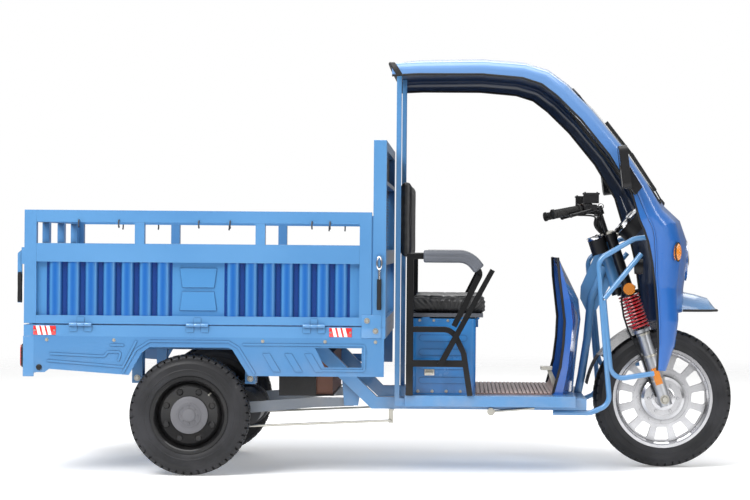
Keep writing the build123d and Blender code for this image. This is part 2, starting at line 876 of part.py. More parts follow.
# Rear axle, springs and drive
def leaf_springs():
    """Stacked leaves bowed from eye to eye, their middle resting on the axle pad."""
    seat_z = spring_pad_z + leaf_count * leaf_t
    sag = spring_eye_z - seat_z
    bow_r = (spring_half_len ** 2 + sag ** 2) / (2 * sag)
    place = Pos(rear_axle_x, rail_y, seat_z + bow_r)
    pack = Part()
    for index in range(leaf_count):
        reach = spring_half_len * (1.0 - leaf_step * index)
        angle = math.degrees(math.asin(reach / bow_r))
        inner_r = bow_r + leaf_t * index
        pack += place * arc_strip(inner_r, inner_r + leaf_t, spring_w, 270 - angle, 270 + angle)
    for end in (-1, 1):
        x = rear_axle_x + end * spring_half_len
        pack += disc(x, rail_y - spring_w / 2, rail_y + spring_w / 2, spring_eye_z, spring_eye_r)
    return pair(pack)


def spring_hangers():
    """Front brackets and rear shackles between the rails and the spring eyes."""
    y_in = rail_y - spring_w / 2 - hanger_t
    y_out = rail_y + spring_w / 2
    rail_low = base_z - bed_rail_h
    hangers = Part()
    for end in (-1, 1):
        x0 = rear_axle_x + end * spring_half_len - hanger_w / 2
        for y in (y_in, y_out):
            hangers += block(x0, x0 + hanger_w, y, y + hanger_t, spring_eye_z - hanger_w / 2, rail_low)
        hangers += block(x0, x0 + hanger_w, y_in, y_out + hanger_t, rail_low - hanger_t, rail_low)
    return pair(hangers)


def rear_axle():
    """Axle tube with differential, brake plates, spring pads, arm lugs and the drive case."""
    half = rear_track / 2 - wheel_to_plate
    z = rear_tyre_r
    axle = disc(rear_axle_x, -half, half, z, axle_tube_r)
    stub_end = half + wheel_to_plate + brake_plate_t
    axle += disc(rear_axle_x, -stub_end, stub_end, z, rear_stub_r)
    axle += disc(rear_axle_x, -diff_half_w, diff_half_w, z, diff_r)
    axle += pair(disc(rear_axle_x, half - brake_plate_t, half, z, brake_plate_r))
    pad_y = (rail_y - spring_w / 2, rail_y + spring_w / 2)
    axle += pair(block(rear_axle_x - 50, rear_axle_x + 50, *pad_y, z, spring_pad_z))
    axle += pair(block(rear_axle_x, rear_axle_x + 90, rail_in_y, rail_in_y + radius_arm_t, z - 22, z + 30))
    case = Pos(rear_axle_x + motor_ahead / 2, z) * SlotOverall(motor_ahead + 2 * diff_r, 2 * diff_r)
    case_y = diff_half_w + drive_case_w
    return axle + extrude(Plane.XZ.offset(-case_y) * case, amount=drive_case_w)


def radius_arms():
    """Pressed arms that hold the axle fore and aft, bolted inside the brackets."""
    rear = rear_axle_x + 52
    z = rear_tyre_r
    outline = [(rear, z - 22), (rear, z + 28), (-300, z + 64), (-130, z + 64), (-130, z + 28), (-300, z + 21)]
    return pair(side_plate(outline, rail_in_y - radius_arm_t, rail_in_y))


def brake_linkage():
    """Cross shaft under the rails with cranks and pull rods to the brakes, and the pedal's rod."""
    x, r = brake_shaft_x, brake_shaft_r
    shaft_z = foot_rail_low - seat_clear - r
    out_y = rail_out_y + 5
    links = disc(x, -out_y, out_y, shaft_z, r)
    crank = block(x - r, x + r, out_y, out_y + 6, shaft_z - brake_crank_len, shaft_z + r)
    pull_y = out_y + 8
    end = (rear_axle_x + 67, pull_y, rear_tyre_r - 64)
    pull = rod((x, pull_y, shaft_z - brake_crank_len + r), end, brake_pull_r)
    plate_in_y = rear_track / 2 - wheel_to_plate - brake_plate_t
    pin = disc(end[0], pull_y, plate_in_y - seat_clear, end[2], brake_pull_r + 1)
    links += pair(crank + pull + pin)
    eye_z = foot_rail_low - pedal_eye_r / 2
    eye_y = -rail_out_y - seat_clear
    links += disc(pedal_rod_x[0], eye_y - 14, eye_y, eye_z, pedal_eye_r)
    rod_y = eye_y - 7
    rear, front = pedal_rod_x
    return links + rod((rear, rod_y, eye_z), (front, rod_y, eye_z + pedal_eye_r), brake_pull_r)


def drive_motor():
    return disc(rear_axle_x + motor_ahead, diff_half_w - motor_len, diff_half_w, rear_tyre_r, motor_r)


def battery():
    """Hanging tray between the rails with one plain block of cells."""
    x0, x1 = battery_rear_x, battery_front_x
    low = battery_low_z
    tray = block(x0, x1, -rail_in_y, rail_in_y, low - tray_t, low)
    tray += pair(block(x0, step_rear_x, rail_in_y - tray_wall, rail_in_y, low, base_z))
    half = rail_in_y - battery_side_gap
    return tray, block(x0 + tray_t, x1 - tray_t, -half, half, low, low + battery_h)


# Seat
lid_hinges = (-200.0, 200.0)
# height of each pressed bead above the footboard
seat_beads = (60.0, 120.0, 180.0, 240.0)


def rounded_box(x0, x1, half_w, z0, z1, corner):
    box = block(x0, x1, -half_w, half_w, z0, z1)
    return fillet(box.edges().filter_by(Axis.Z), corner)


def seat_box():
    """Open box with pressed beads on its sides, lid hinge ears in front and rubber buffers on top."""
    x0, x1, wall = seat_box_rear_x, seat_box_front_x, seat_box_wall
    top = seat_box_top_z
    box = rounded_box(x0, x1, seat_box_half_w, footboard_top_z, top, seat_box_round)
    inside = seat_box_half_w - wall
    box -= rounded_box(x0 + wall, x1 - wall, inside, footboard_top_z, top, seat_box_round - wall)
    bead = SlotOverall(x1 - x0 - 3 * seat_box_round, seat_bead_h)
    for rise in seat_beads:
        place = Plane.XZ.offset(-seat_box_half_w) * Pos((x0 + x1) / 2, footboard_top_z + rise)
        box += pair(extrude(place * bead, amount=-seat_bead_t))
    inner_y = lid_lug_w / 2 + lid_ear_gap
    outer_y = inner_y + lid_ear_w
    for y in lid_hinges:
        for y0, y1 in ((y - outer_y, y - inner_y), (y + inner_y, y + outer_y)):
            box += block(x1 - wall, lid_hinge_x, y0, y1, top - lid_ear_w, top)
            box += disc(lid_hinge_x, y0, y1, top, lid_hinge_r)
        box += disc(lid_hinge_x, y - outer_y, y + outer_y, top, hinge_pin_r)
    buffer = seat_lid_gap - seat_clear
    for x in (x0 + 2 * seat_box_round, x1 - 3 * seat_box_round):
        box += pair(block(x, x + 30, inside - 30, inside + wall, top - 10, top + buffer))
    return box


def seat_base():
    plate = block(
        seat_box_rear_x + seat_lid_gap, lid_hinge_x + lid_overhang, -seat_box_half_w, seat_box_half_w,
        lid_low_z, lid_low_z + seat_base_t,
    )
    half, r = lid_lug_w / 2, lid_hinge_r
    for y in lid_hinges:
        lug = disc(lid_hinge_x, y - half, y + half, seat_box_top_z, r)
        lug += block(lid_hinge_x - r, lid_hinge_x + r, y - half, y + half, seat_box_top_z, lid_low_z)
        plate += lug - disc(lid_hinge_x, y - half, y + half, seat_box_top_z, hinge_pin_r + running_gap)
    return plate


def seat_cushion():
    low = lid_low_z + seat_base_t
    cushion = block(cushion_rear_x, cushion_front_x, -cushion_half_w, cushion_half_w, low, low + cushion_h)
    return fillet(cushion.edges().filter_by(Axis.Y).group_by(Axis.X)[-1], cushion_round)


def backrest():
    rear = pillar_x + pillar_size + seat_clear
    low, high = backrest_bottom_z, backrest_bottom_z + backrest_h
    pad = block(rear, rear + backrest_t, -backrest_half_w, backrest_half_w, low, high)
    return fillet(pad.edges().filter_by(Axis.X), backrest_round)


def roof_pillars():
    """Two square posts from the footboard's rear edge to the roof, joined by the backrest's bars."""
    x0, x1 = pillar_x, pillar_x + pillar_size
    inner = pillar_y - pillar_size
    neck_z = hood_table[0][1] - hood_table[0][4]
    post = block(x0, x1, inner, pillar_y, foot_rail_z, neck_z)
    post += block(x0, x1, inner, pillar_y, neck_z, hood_table[1][1]) & hood_form(shell_t + seat_clear)
    post += block(x0, footboard_rear_x, inner, pillar_y, footboard_top_z - sill_h, foot_rail_z)
    frame = pair(post)
    for share in (0.14, 0.80):
        z = backrest_bottom_z + share * backrest_h
        frame += block(x0, x1, -inner, inner, z, z + pillar_size)
    return frame


# Side view (x, z) of the armrest's bars; z above the footboard for the lower ones
arm_line = [(118.0, arm_z), (352.0, arm_z), (408.0, arm_z - 69), (296.0, arm_z - 295)]
arm_bends = [70.0, 28.0]
pad_line = [(166.0, arm_z), (352.0, arm_z), (404.0, arm_z - 64)]
hoop_line = [(110.0, 280.0), (290.0, 280.0), (338.0, 180.0), (366.0, 0.0)]
hoop_bends = [60.0, 60.0]
cross_bar = (300.0, 344.0, 122.0, 150.0)


def armrest_frame():
    """Bent square tubes: rear post, arm with its front strut, lower hoop and cross bar."""
    section = Rectangle(arm_tube, arm_tube)
    y0, y1 = arm_inner_y, arm_outer_y
    low = footboard_top_z
    frame = block(arm_post_x, arm_post_x + arm_post_w, y0, y1, low, arm_z + arm_tube / 2)
    frame += swept(section, [(x, arm_mid_y, z) for x, z in arm_line], arm_bends)
    hoop = swept(section, [(x, arm_mid_y, low + z) for x, z in hoop_line], hoop_bends)
    frame += hoop - block(0, seat_box_front_x, y0, y1, low - arm_tube, low)
    rear_x, front_x, z0, z1 = arm_post_x + arm_post_w, cross_bar[1], cross_bar[2], cross_bar[3]
    return frame + block(rear_x, front_x, y0, y1, low + z0, low + z1)


def armrest_pads():
    """Moulded pads that wrap the arms and bend down with them at the front."""
    section = RectangleRounded(arm_pad_w, arm_pad_h, arm_pad_round)
    pad = swept(section, [(x, arm_mid_y, z) for x, z in pad_line], arm_bends[:1])
    slot = Rectangle(arm_tube + 2 * seat_clear, arm_tube + 2 * seat_clear)
    return pair(pad - swept(slot, [(x, arm_mid_y, z) for x, z in arm_line], arm_bends))


def parking_lever():
    """Straight hand lever outside the right armrest, pivoted on its cross bar."""
    pivot_z = footboard_top_z + (cross_bar[2] + cross_bar[3]) / 2
    y0 = -arm_outer_y - lever_clear - lever_t
    lever = side_plate([(448, 875), (467, 865), (250, pivot_z - 12), (228, pivot_z)], y0, y0 + lever_t)
    return lever + disc(245, y0, -arm_outer_y, pivot_z, 9)


# Roof, fairing and windscreen
# x and z of the crown, lean of the section in degrees, half width, depth, bow of the crown, corner round
hood_columns = ("x", "z", "lean", "half_w", "depth", "bow", "round")
hood_table = [
    (28.0, 1762.0, 0.0, 442.0, 78.0, 26.0, 30.0),
    (140.0, 1780.0, 0.0, 446.0, 90.0, 36.0, 35.0),
    (408.0, 1787.0, 0.0, 450.0, 96.0, 38.0, 35.0),
    (590.0, 1774.0, 8.0, 450.0, 98.0, 38.0, 35.0),
    (700.0, 1742.0, 26.0, 448.0, 100.0, 38.0, 35.0),
    (790.0, 1676.0, 42.0, 446.0, 100.0, 36.0, 35.0),
    (900.0, 1572.0, 47.0, 441.0, 102.0, 38.0, 35.0),
    (1030.0, 1418.0, 53.0, 434.0, 105.0, 38.0, 35.0),
    (1140.0, 1262.0, 57.0, 428.0, 118.0, 38.0, 40.0),
    (1215.0, 1150.0, 64.0, 424.0, 155.0, 42.0, 55.0),
    (1285.0, 1088.0, 77.0, 414.0, 195.0, 48.0, 80.0),
    (1318.0, 1000.0, 88.0, 400.0, 204.0, 54.0, 100.0),
    (1320.0, 900.0, 91.0, 384.0, 186.0, 56.0, 105.0),
    (1306.0, 790.0, 92.0, 367.0, 158.0, 54.0, 90.0),
    (1302.0, 660.0, 92.0, 355.0, 142.0, 46.0, 80.0),
    (1280.0, 548.0, 95.0, 344.0, 115.0, 38.0, 65.0),
    (1213.0, 442.0, 95.0, 330.0, 50.0, 10.0, 30.0),
]
roof_end = 5


def hood_plane(station):
    """Plane of one section: X across the machine, Y from the crown into the hood."""
    row = dict(zip(hood_columns, station))
    lean = math.radians(row["lean"])
    inward = Vector(-math.sin(lean), 0, -math.cos(lean))
    return Plane(origin=(row["x"], 0, row["z"]), x_dir=(0, 1, 0), z_dir=Vector(0, 1, 0).cross(inward))


def hood_section(station, inset):
    """One section: a bowed crown with rounded shoulders and straight side flanges."""
    row = dict(zip(hood_columns, station))
    half = row["half_w"] - inset
    deep = row["depth"] + (hood_open if inset else 0)
    corner = row["round"]
    low = row["bow"] + inset
    cut = corner * (1 - math.sqrt(0.5))
    lines = [
        Line((half, low + corner), (half, deep)), Line((half, deep), (-half, deep)),
        Line((-half, deep), (-half, low + corner)),
        ThreePointArc((-half, low + corner), (-half + cut, low + cut), (-half + corner, low)),
        ThreePointArc((-half + corner, low), (0, inset), (half - corner, low)),
        ThreePointArc((half - corner, low), (half - cut, low + cut), (half, low + corner)),
    ]
    return hood_plane(station) * make_face(lines)


def hood_form(inset):
    return loft([hood_section(station, inset) for station in hood_table], ruled=True)


hood_outer = hood_form(0)


def screen_cutter():
    """Rounded prism through the sloping face that leaves the pillars and the cowl."""
    top, foot = Vector(screen_top[0], 0, screen_top[1]), Vector(screen_foot[0], 0, screen_foot[1])
    down = foot - top
    face = Plane(origin=(top + foot) / 2, x_dir=down, z_dir=Vector(0, 1, 0).cross(down) * -1)
    outline = RectangleRounded(down.length, 2 * screen_half_w, screen_round)
    return extrude(face * outline, amount=screen_cut / 2, both=True)


def hood_parts():
    """Roof, fairing and windscreen cut from one moulded shell."""
    shell = hood_outer - hood_form(shell_t)
    seam = hood_plane(hood_table[roof_end])
    roof_half = split(shell, bisect_by=seam, keep=Keep.BOTTOM)
    front_half = split(shell, bisect_by=seam, keep=Keep.TOP)
    if roof_half.center().X > front_half.center().X:
        roof_half, front_half = front_half, roof_half
    cutter = screen_cutter()
    screen = front_half & cutter
    half = wheel_tunnel_half_w
    tunnel = block(1050, 1400, -half, half, footboard_top_z, wheel_tunnel_top_z)
    lamp_hole = Pos(headlamp_x, 0, headlamp_z) * along_x(headlamp_r + seat_clear, 4 * headlamp_barrel)
    return roof_half, front_half - cutter - tunnel - lamp_hole, screen


# x, z of the top, half width of the lip's arched sections
lip_table = [(1286.0, 778.0, 172.0), (1360.0, 764.0, 166.0), (1414.0, 748.0, 152.0), (1445.0, 706.0, 118.0)]
lip_low_z = 698.0
lip_wall = 5.0


def lip_form(inset):
    sections = []
    for x, top, half_w in lip_table:
        half = half_w - inset
        arc = ThreePointArc((-half, lip_low_z), (0, max(top - inset, lip_low_z + 1)), (half, lip_low_z))
        face = make_face([arc, Line((half, lip_low_z), (-half, lip_low_z))])
        sections.append(Plane.YZ.offset(x - inset) * face)
    return loft(sections, ruled=True)


def front_lip():
    """Arched lip under the nose, over the front of the wheel."""
    return lip_form(0) - lip_form(lip_wall) - hood_outer


def headlamp():
    """Round lamp with a domed glass, set in the nose."""
    r, barrel = headlamp_r, headlamp_barrel
    tip = barrel + headlamp_dome
    dome_r = (r ** 2 + headlamp_dome ** 2) / (2 * headlamp_dome)
    half_angle = math.asin(r / dome_r) / 2
    on_dome = (tip - dome_r + dome_r * math.cos(half_angle), dome_r * math.sin(half_angle))
    lines = [
        Line((0, 0), (0, r)), Line((0, r), (barrel, r)), ThreePointArc((barrel, r), on_dome, (tip, 0)),
        Line((tip, 0), (0, 0)),
    ]
    return Pos(headlamp_x, 0, headlamp_z) * revolve(make_face(lines), Axis.X)


def mirrors():
    """Mirror housings on wedge arms outside the screen pillars."""
    body = Box(mirror_t, mirror_w, mirror_h)
    body = fillet(body.edges().filter_by(Axis.X), mirror_round)
    body = Pos(1002, mirror_half_span - mirror_w / 2, 1304) * Rot(0, mirror_tilt, 0) * body
    inner_y = mirror_half_span - mirror_w
    arm = side_plate([(1012, 1330), (1078, 1222), (1052, 1190), (1012, 1236)], inner_y - 60, inner_y + 20)
    arm = (arm - hood_outer).solids().sort_by(Axis.Y)[-1]
    return pair(body + arm)


# Side view (x, z) of the guard tubes
guard_foot_z = foot_rail_low - tube_r - seat_clear
guard_main = [(1112, 1013), (1059, 1006), (908, 916), (962, 300), (880, guard_foot_z), (720, guard_foot_z)]
guard_lower = [(934, 744), (968, 405), (1150, 434)]
guard_brace = [(1092, 943), (935, 750)]


def guard_tubes():
    """Bent tubes beside the front wheel that carry the fairing."""
    main = tube([(x, guard_y, z) for x, z in guard_main], tube_r, tube_bend)
    lower = tube([(x, guard_y, z) for x, z in guard_lower], tube_r, tube_bend)
    start, end = [(x, guard_y, z) for x, z in guard_brace]
    return pair(main + lower + rod(start, end, tube_r))


def horn():
    """Horn on a bracket inside the right brace."""
    y = -guard_y + tube_r + seat_clear
    bracket = block(1064, 1082, y, y + 50, 906, 924)
    bell = Pos(1087, y + 55, 888) * along_x(horn_r, horn_t)
    return bracket + bell


def brake_pedal():
    z = footboard_top_z
    pad = block(672, 722, -230, -170, z + 101, z + 115)
    arm = side_plate([(700, z + 101), (718, z + 101), (758, z + 12), (758, z), (735, z)], -210, -196)
    return pad + arm


def turn_lamps():
    """Upright oval lamps on the nose's shoulders."""
    outward = Plane(origin=(1238, 362, 952), x_dir=(0, 0, 1), z_dir=(0.7, 0.7, 0))
    lamp = extrude(outward.offset(-12) * SlotOverall(turn_lamp_len, turn_lamp_w), amount=24)
    return pair((lamp - hood_outer).solids().sort_by(Axis.Y)[-1])


# Steering
def crown():
    """Clamp plate across both legs with a boss for the stem, standing on z = 0."""
    plate = Rot(0, 0, 90) * SlotOverall(2 * (leg_y + crown_round), 2 * crown_round)
    return extrude(plate + Pos(-fork_offset, 0) * Circle(stem_boss_r), amount=crown_t)


def fork_upper():
    """Crowns, stem, chrome upper tubes, stanchions, spring seats and bar risers."""
    upper = fork_part(0, 0, crown_low, crown()) + fork_part(0, 0, crown_high, crown())
    stem_len = crown_gap + 2 * crown_t
    upper += fork_part(-fork_offset, 0, crown_low + stem_len / 2, Cylinder(stem_r, stem_len))
    for side in (-1, 1):
        y = side * leg_y
        length = crown_low - stanchion_low
        upper += fork_part(0, y, stanchion_low + length / 2, Cylinder(stanchion_r, length))
        upper += fork_part(0, y, crown_low + crown_t + crown_gap / 2, Cylinder(shroud_r, crown_gap))
        upper += fork_part(0, y, fork_spring_high + spring_seat_t / 2, Cylinder(fork_spring_r, spring_seat_t))
        riser = Cylinder(riser_r, bar_rise)
        upper += fork_part(-bar_back, side * riser_y, crown_high + crown_t + bar_rise / 2, riser)
        upper += fork_part(-bar_back, side * riser_y, bar_height, Box(clamp_size, clamp_w, clamp_size))
    bar_x, bar_z = on_fork_line(-bar_back, bar_height)
    clamp_end = riser_y + clamp_w
    return upper - disc(bar_x, -clamp_end, clamp_end, bar_z, bar_r + seat_clear)


def fork_lowers():
    """Lower legs with their spring seats, and the wheel's pin."""
    r = lower_leg_r
    length = fork_spring_low + lower_leg_drop
    leg = Pos(0, 0, fork_spring_low - length / 2) * Cylinder(r, length)
    leg += Pos(0, 0, fork_spring_low - spring_seat_t / 2) * Cylinder(fork_spring_r, spring_seat_t)
    bore_len = fork_spring_low - stanchion_low + r
    leg -= Pos(0, 0, fork_spring_low - bore_len / 2) * Cylinder(stanchion_r + running_gap, bore_len)
    pin_half = leg_y + r + 10
    legs = pair(fork_part(0, leg_y, 0, leg))
    return legs + disc(front_axle_x, -pin_half, pin_half, front_tyre_r, front_pin_r)


def fork_springs():
    wire = fork_spring_wire_r
    low, high = fork_spring_low + seat_clear, fork_spring_high - seat_clear
    spring = coil(fork_spring_r - wire, wire, low, high, fork_spring_turns)
    return pair(fork_part(0, leg_y, 0, spring))


def fork_reflectors():
    """Round reflectors beside the lower crown, on the springs' upper seats."""
    y = leg_y + fork_spring_r + seat_clear + reflector_t / 2
    reflector = Rot(90, 0, 0) * Cylinder(reflector_r, reflector_t)
    return pair(fork_part(0, y, crown_low + crown_t / 2, reflector))


def front_mudguard():
    """Guard with side skirts over the tyre behind the fork, hung from the lower crown, and its flap."""
    inner = mudguard_r - mudguard_t
    start, end = mudguard_start_deg, mudguard_end_deg
    guard = arc_strip(inner, mudguard_r, mudguard_w, start, end)
    skirt = arc_strip(mudguard_r - mudguard_skirt, mudguard_r, mudguard_t, start, end)
    guard += pair(Pos(0, (mudguard_w - mudguard_t) / 2, 0) * skirt)
    guard += arc_strip(inner, mudguard_r + mudguard_t, mudguard_w - 10, end, flap_end_deg)
    post_h = crown_low - seat_clear - mudguard_r + mudguard_t / 2
    post = fork_part(0, 0, crown_low - seat_clear - post_h / 2, Box(30, 60, post_h))
    return Pos(front_axle_x, 0, front_tyre_r) * guard + post


grip_start = Vector(830.0, 290.0, 1131.0)
grip_way = Vector(-0.88, 0.44, -0.176).normalized()
bar_bend = 40.0
bar_straight = 75.0


def handlebar():
    bar_x, bar_z = on_fork_line(-bar_back, bar_height)
    bend = grip_start - grip_way * bar_straight
    half = [(bar_x, riser_y + clamp_w, bar_z), tuple(bend), tuple(grip_start)]
    points = [(x, -y, z) for x, y, z in reversed(half)] + half
    return tube(points, bar_r, bar_bend)


def grips():
    return pair(rod(tuple(grip_start), tuple(grip_start + grip_way * grip_len), grip_r))


def hand_controls():
    """Switch pod, lever with its bracket, and brake fluid box on each side of the bar."""
    middle = grip_start - grip_way * (pod_len / 2 + 12)
    along = Plane(origin=middle, z_dir=grip_way).location
    hole = along * Cylinder(bar_r + seat_clear, 3 * pod_len)
    start = middle - grip_way * 12 + Vector(38, 0, -4)
    lever = rod(tuple(start), tuple(start + grip_way * 150 + Vector(14, 0, -6)), 6)
    bracket = Pos(tuple(middle + Vector(26, 0, 2))) * Box(36, 30, 26)
    fluid_box = Pos(tuple(middle - grip_way * 16 + Vector(6, 0, pod_r + 16))) * Box(66, 36, 40)
    fluid_box = fillet(fluid_box.edges().filter_by(Axis.Z), 6)
    return pair(along * Cylinder(pod_r, pod_len) + bracket + fluid_box - hole + lever)


def instrument_pod():
    """Round dial housing ahead of the upper crown and the key housing behind its right end."""
    dial = Cylinder(dial_r, dial_h) + Pos(0, 0, (dial_h - dial_rim_h) / 2) * Cylinder(dial_rim_r, dial_rim_h)
    front_x = crown_round + seat_clear
    reach = front_x + dial_rim_r + 12
    mid_z = crown_high + crown_t / 2
    pod = fork_part(reach, 0, crown_high + crown_t, Rot(0, dial_tilt, 0) * dial)
    pod += fork_part((front_x + reach) / 2, 0, mid_z, Box(reach - front_x, 40, 20))
    key = fork_part(-front_x - key_housing_r, key_housing_y, mid_z - 18, Cylinder(key_housing_r, key_housing_h))
    return pod + key


# Every node of the machine
for side_name, side_sign in (("left", 1), ("right", -1)):
    for name, shape in rear_wheel(side_sign).items():
        nodes[f"{name}_{side_name}"] = shape
    side_frame = on_side(board_frame(side_length, side_stakes, side_hinges), side_sign)
    nodes[f"side_board_frame_{side_name}"] = side_frame + rear_latch(side_sign)
    side_sheet = fluted_sheet(side_length - 2 * board_post_w, side_flutes()) + centre_embossings()
    nodes[f"side_board_panel_{side_name}"] = on_side(panel_place(side_sheet), side_sign)

nodes["tailgate_frame"] = on_tail(board_frame(tail_length, tail_stakes, tail_hinges))
nodes["tailgate_panel"] = on_tail(panel_place(fluted_sheet(tail_length - 2 * board_post_w, tail_flutes())))
nodes.update(front_wheel())
nodes["bed_floor"] = bed_floor() + bed_hinges()
nodes["headboard_frame"], nodes["headboard_sheets"] = headboard()
nodes["front_latches"] = front_latches()
nodes["bed_skirts"] = pair(bed_skirt())
nodes["rear_panel"] = rear_panel()
nodes["tail_lamps"] = tail_lamps()
nodes["chassis_frame"] = chassis_frame()
nodes["footboard"] = footboard()
nodes["floor_mat"] = floor_mat()
nodes["leg_shield"] = leg_shield()
nodes["leaf_springs"] = leaf_springs()
nodes["rear_axle"] = rear_axle()
nodes["radius_arms"] = radius_arms()
nodes["brake_linkage"] = brake_linkage()
nodes["drive_motor"] = drive_motor()
nodes["battery_tray"], nodes["battery_block"] = battery()
nodes["seat_box"] = seat_box()
nodes["seat_base"] = seat_base()
nodes["seat_cushion"] = seat_cushion()
nodes["backrest"] = backrest()
nodes["roof_pillars"] = roof_pillars()
nodes["armrest_frames"] = pair(armrest_frame())
nodes["armrest_pads"] = armrest_pads()
nodes["parking_lever"] = parking_lever()
nodes["brake_pedal"] = brake_pedal()
nodes["roof"], nodes["fairing"], nodes["windscreen"] = hood_parts()
nodes["front_lip"] = front_lip()
nodes["headlamp"] = headlamp()
nodes["turn_lamps"] = turn_lamps()
nodes["mirrors"] = mirrors()
nodes["guard_tubes"] = guard_tubes()
nodes["horn"] = horn()
nodes["fork_upper"] = fork_upper()
nodes["fork_lowers"] = fork_lowers()
nodes["fork_springs"] = fork_springs()
nodes["fork_reflectors"] = fork_reflectors()
nodes["front_mudguard"] = front_mudguard()
nodes["handlebar"] = handlebar()
nodes["grips"] = grips()
nodes["hand_controls"] = hand_controls()
nodes["instrument_pod"] = instrument_pod()

os.makedirs("parts", exist_ok=True)
for name, shape in nodes.items():
    export_step(shape, f"parts/{name}.step")
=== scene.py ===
from collections import namedtuple
import json
import math

import bmesh
import bpy
from mathutils import Matrix, Vector

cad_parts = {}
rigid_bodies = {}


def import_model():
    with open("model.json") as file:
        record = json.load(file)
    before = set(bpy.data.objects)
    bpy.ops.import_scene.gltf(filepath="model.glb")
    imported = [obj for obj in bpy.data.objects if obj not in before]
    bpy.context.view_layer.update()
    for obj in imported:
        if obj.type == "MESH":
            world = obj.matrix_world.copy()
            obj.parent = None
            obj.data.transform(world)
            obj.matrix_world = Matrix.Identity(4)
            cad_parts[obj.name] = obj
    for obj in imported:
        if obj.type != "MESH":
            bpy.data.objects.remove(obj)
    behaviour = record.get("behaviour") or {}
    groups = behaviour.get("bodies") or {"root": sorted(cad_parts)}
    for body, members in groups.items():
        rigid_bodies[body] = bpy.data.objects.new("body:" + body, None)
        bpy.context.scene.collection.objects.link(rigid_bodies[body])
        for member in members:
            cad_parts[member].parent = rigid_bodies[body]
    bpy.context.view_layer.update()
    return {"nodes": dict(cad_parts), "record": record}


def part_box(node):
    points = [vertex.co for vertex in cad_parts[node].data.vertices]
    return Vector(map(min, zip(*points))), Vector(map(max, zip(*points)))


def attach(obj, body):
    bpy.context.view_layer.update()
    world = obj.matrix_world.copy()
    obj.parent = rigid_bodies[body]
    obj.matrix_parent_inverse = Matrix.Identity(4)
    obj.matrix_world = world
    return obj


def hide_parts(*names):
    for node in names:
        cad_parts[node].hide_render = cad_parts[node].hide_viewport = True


for leftover in list(bpy.data.objects):
    bpy.data.objects.remove(leftover)

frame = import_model()
nodes = frame["nodes"]
slot_of = {row["node"]: row["material_slot"] for row in frame["record"]["subparts"]}

# The photograph's frame, and the camera worked out from the machine's parallel rails
image_w, image_h = 750, 500
axis_px = (460, 245)
focal_px = 1848
camera_place = Vector((0.319, -8.2, 0.974))
camera_roll_deg = 0.47
sensor_mm = 36

# The colour sockets of a Mix node: its two tones and its result
mix_first, mix_second, mix_result = 6, 7, 2


class Signal:
    """A shader socket that takes part in Python sums: each sum adds a Math node."""

    def __init__(self, nodes_of, socket):
        self.nodes_of = nodes_of
        self.socket = socket

    def math(self, operation, *others):
        sockets = dict(enumerate((self, *others)))
        return self.nodes_of.node("ShaderNodeMath", {"operation": operation}, sockets)

    def __add__(self, other):
        return self.math("ADD", other)

    def __sub__(self, other):
        return self.math("SUBTRACT", other)

    def __rsub__(self, other):
        return self.nodes_of.node("ShaderNodeMath", {"operation": "SUBTRACT"}, {0: other, 1: self})

    def __mul__(self, other):
        return self.math("MULTIPLY", other)

    __radd__ = __add__
    __rmul__ = __mul__

    def above(self, edge):
        return self.math("GREATER_THAN", edge)

    def below(self, edge):
        return self.math("LESS_THAN", edge)

    def most(self, other):
        return self.math("MAXIMUM", other)

    def least(self, other):
        return self.math("MINIMUM", other)

    def wave(self):
        return self.math("SINE")

    def size(self):
        return self.math("ABSOLUTE")

    def steps(self, low, high):
        """0 below low, 1 above high and smooth between them."""
        sockets = {"Value": self, "From Min": low, "From Max": high}
        return self.nodes_of.node("ShaderNodeMapRange", {"interpolation_type": "SMOOTHSTEP"}, sockets)


class Nodes:
    """Short ways to add nodes to one node tree."""

    def __init__(self, tree):
        self.tree = tree

    def set(self, socket, value):
        if isinstance(value, Signal):
            self.tree.links.new(value.socket, socket)
        else:
            socket.default_value = value

    def node(self, kind, settings=None, sockets=None, out=0):
        made = self.tree.nodes.new(kind)
        for name, value in (settings or {}).items():
            if name == "stops":
                for stop, (place, tone) in zip(self.ramp_stops(made, len(value)), value):
                    stop.position = place
                    stop.color = tone
            else:
                setattr(made, name, value)
        for key, value in (sockets or {}).items():
            self.set(made.inputs[key], value)
        return Signal(self, made.outputs[out])

    @staticmethod
    def ramp_stops(made, count):
        stops = made.color_ramp.elements
        while len(stops) < count:
            stops.new(1.0)
        return stops

    def part(self, vector, letter):
        return self.node("ShaderNodeSeparateXYZ", None, {"Vector": vector}, letter)


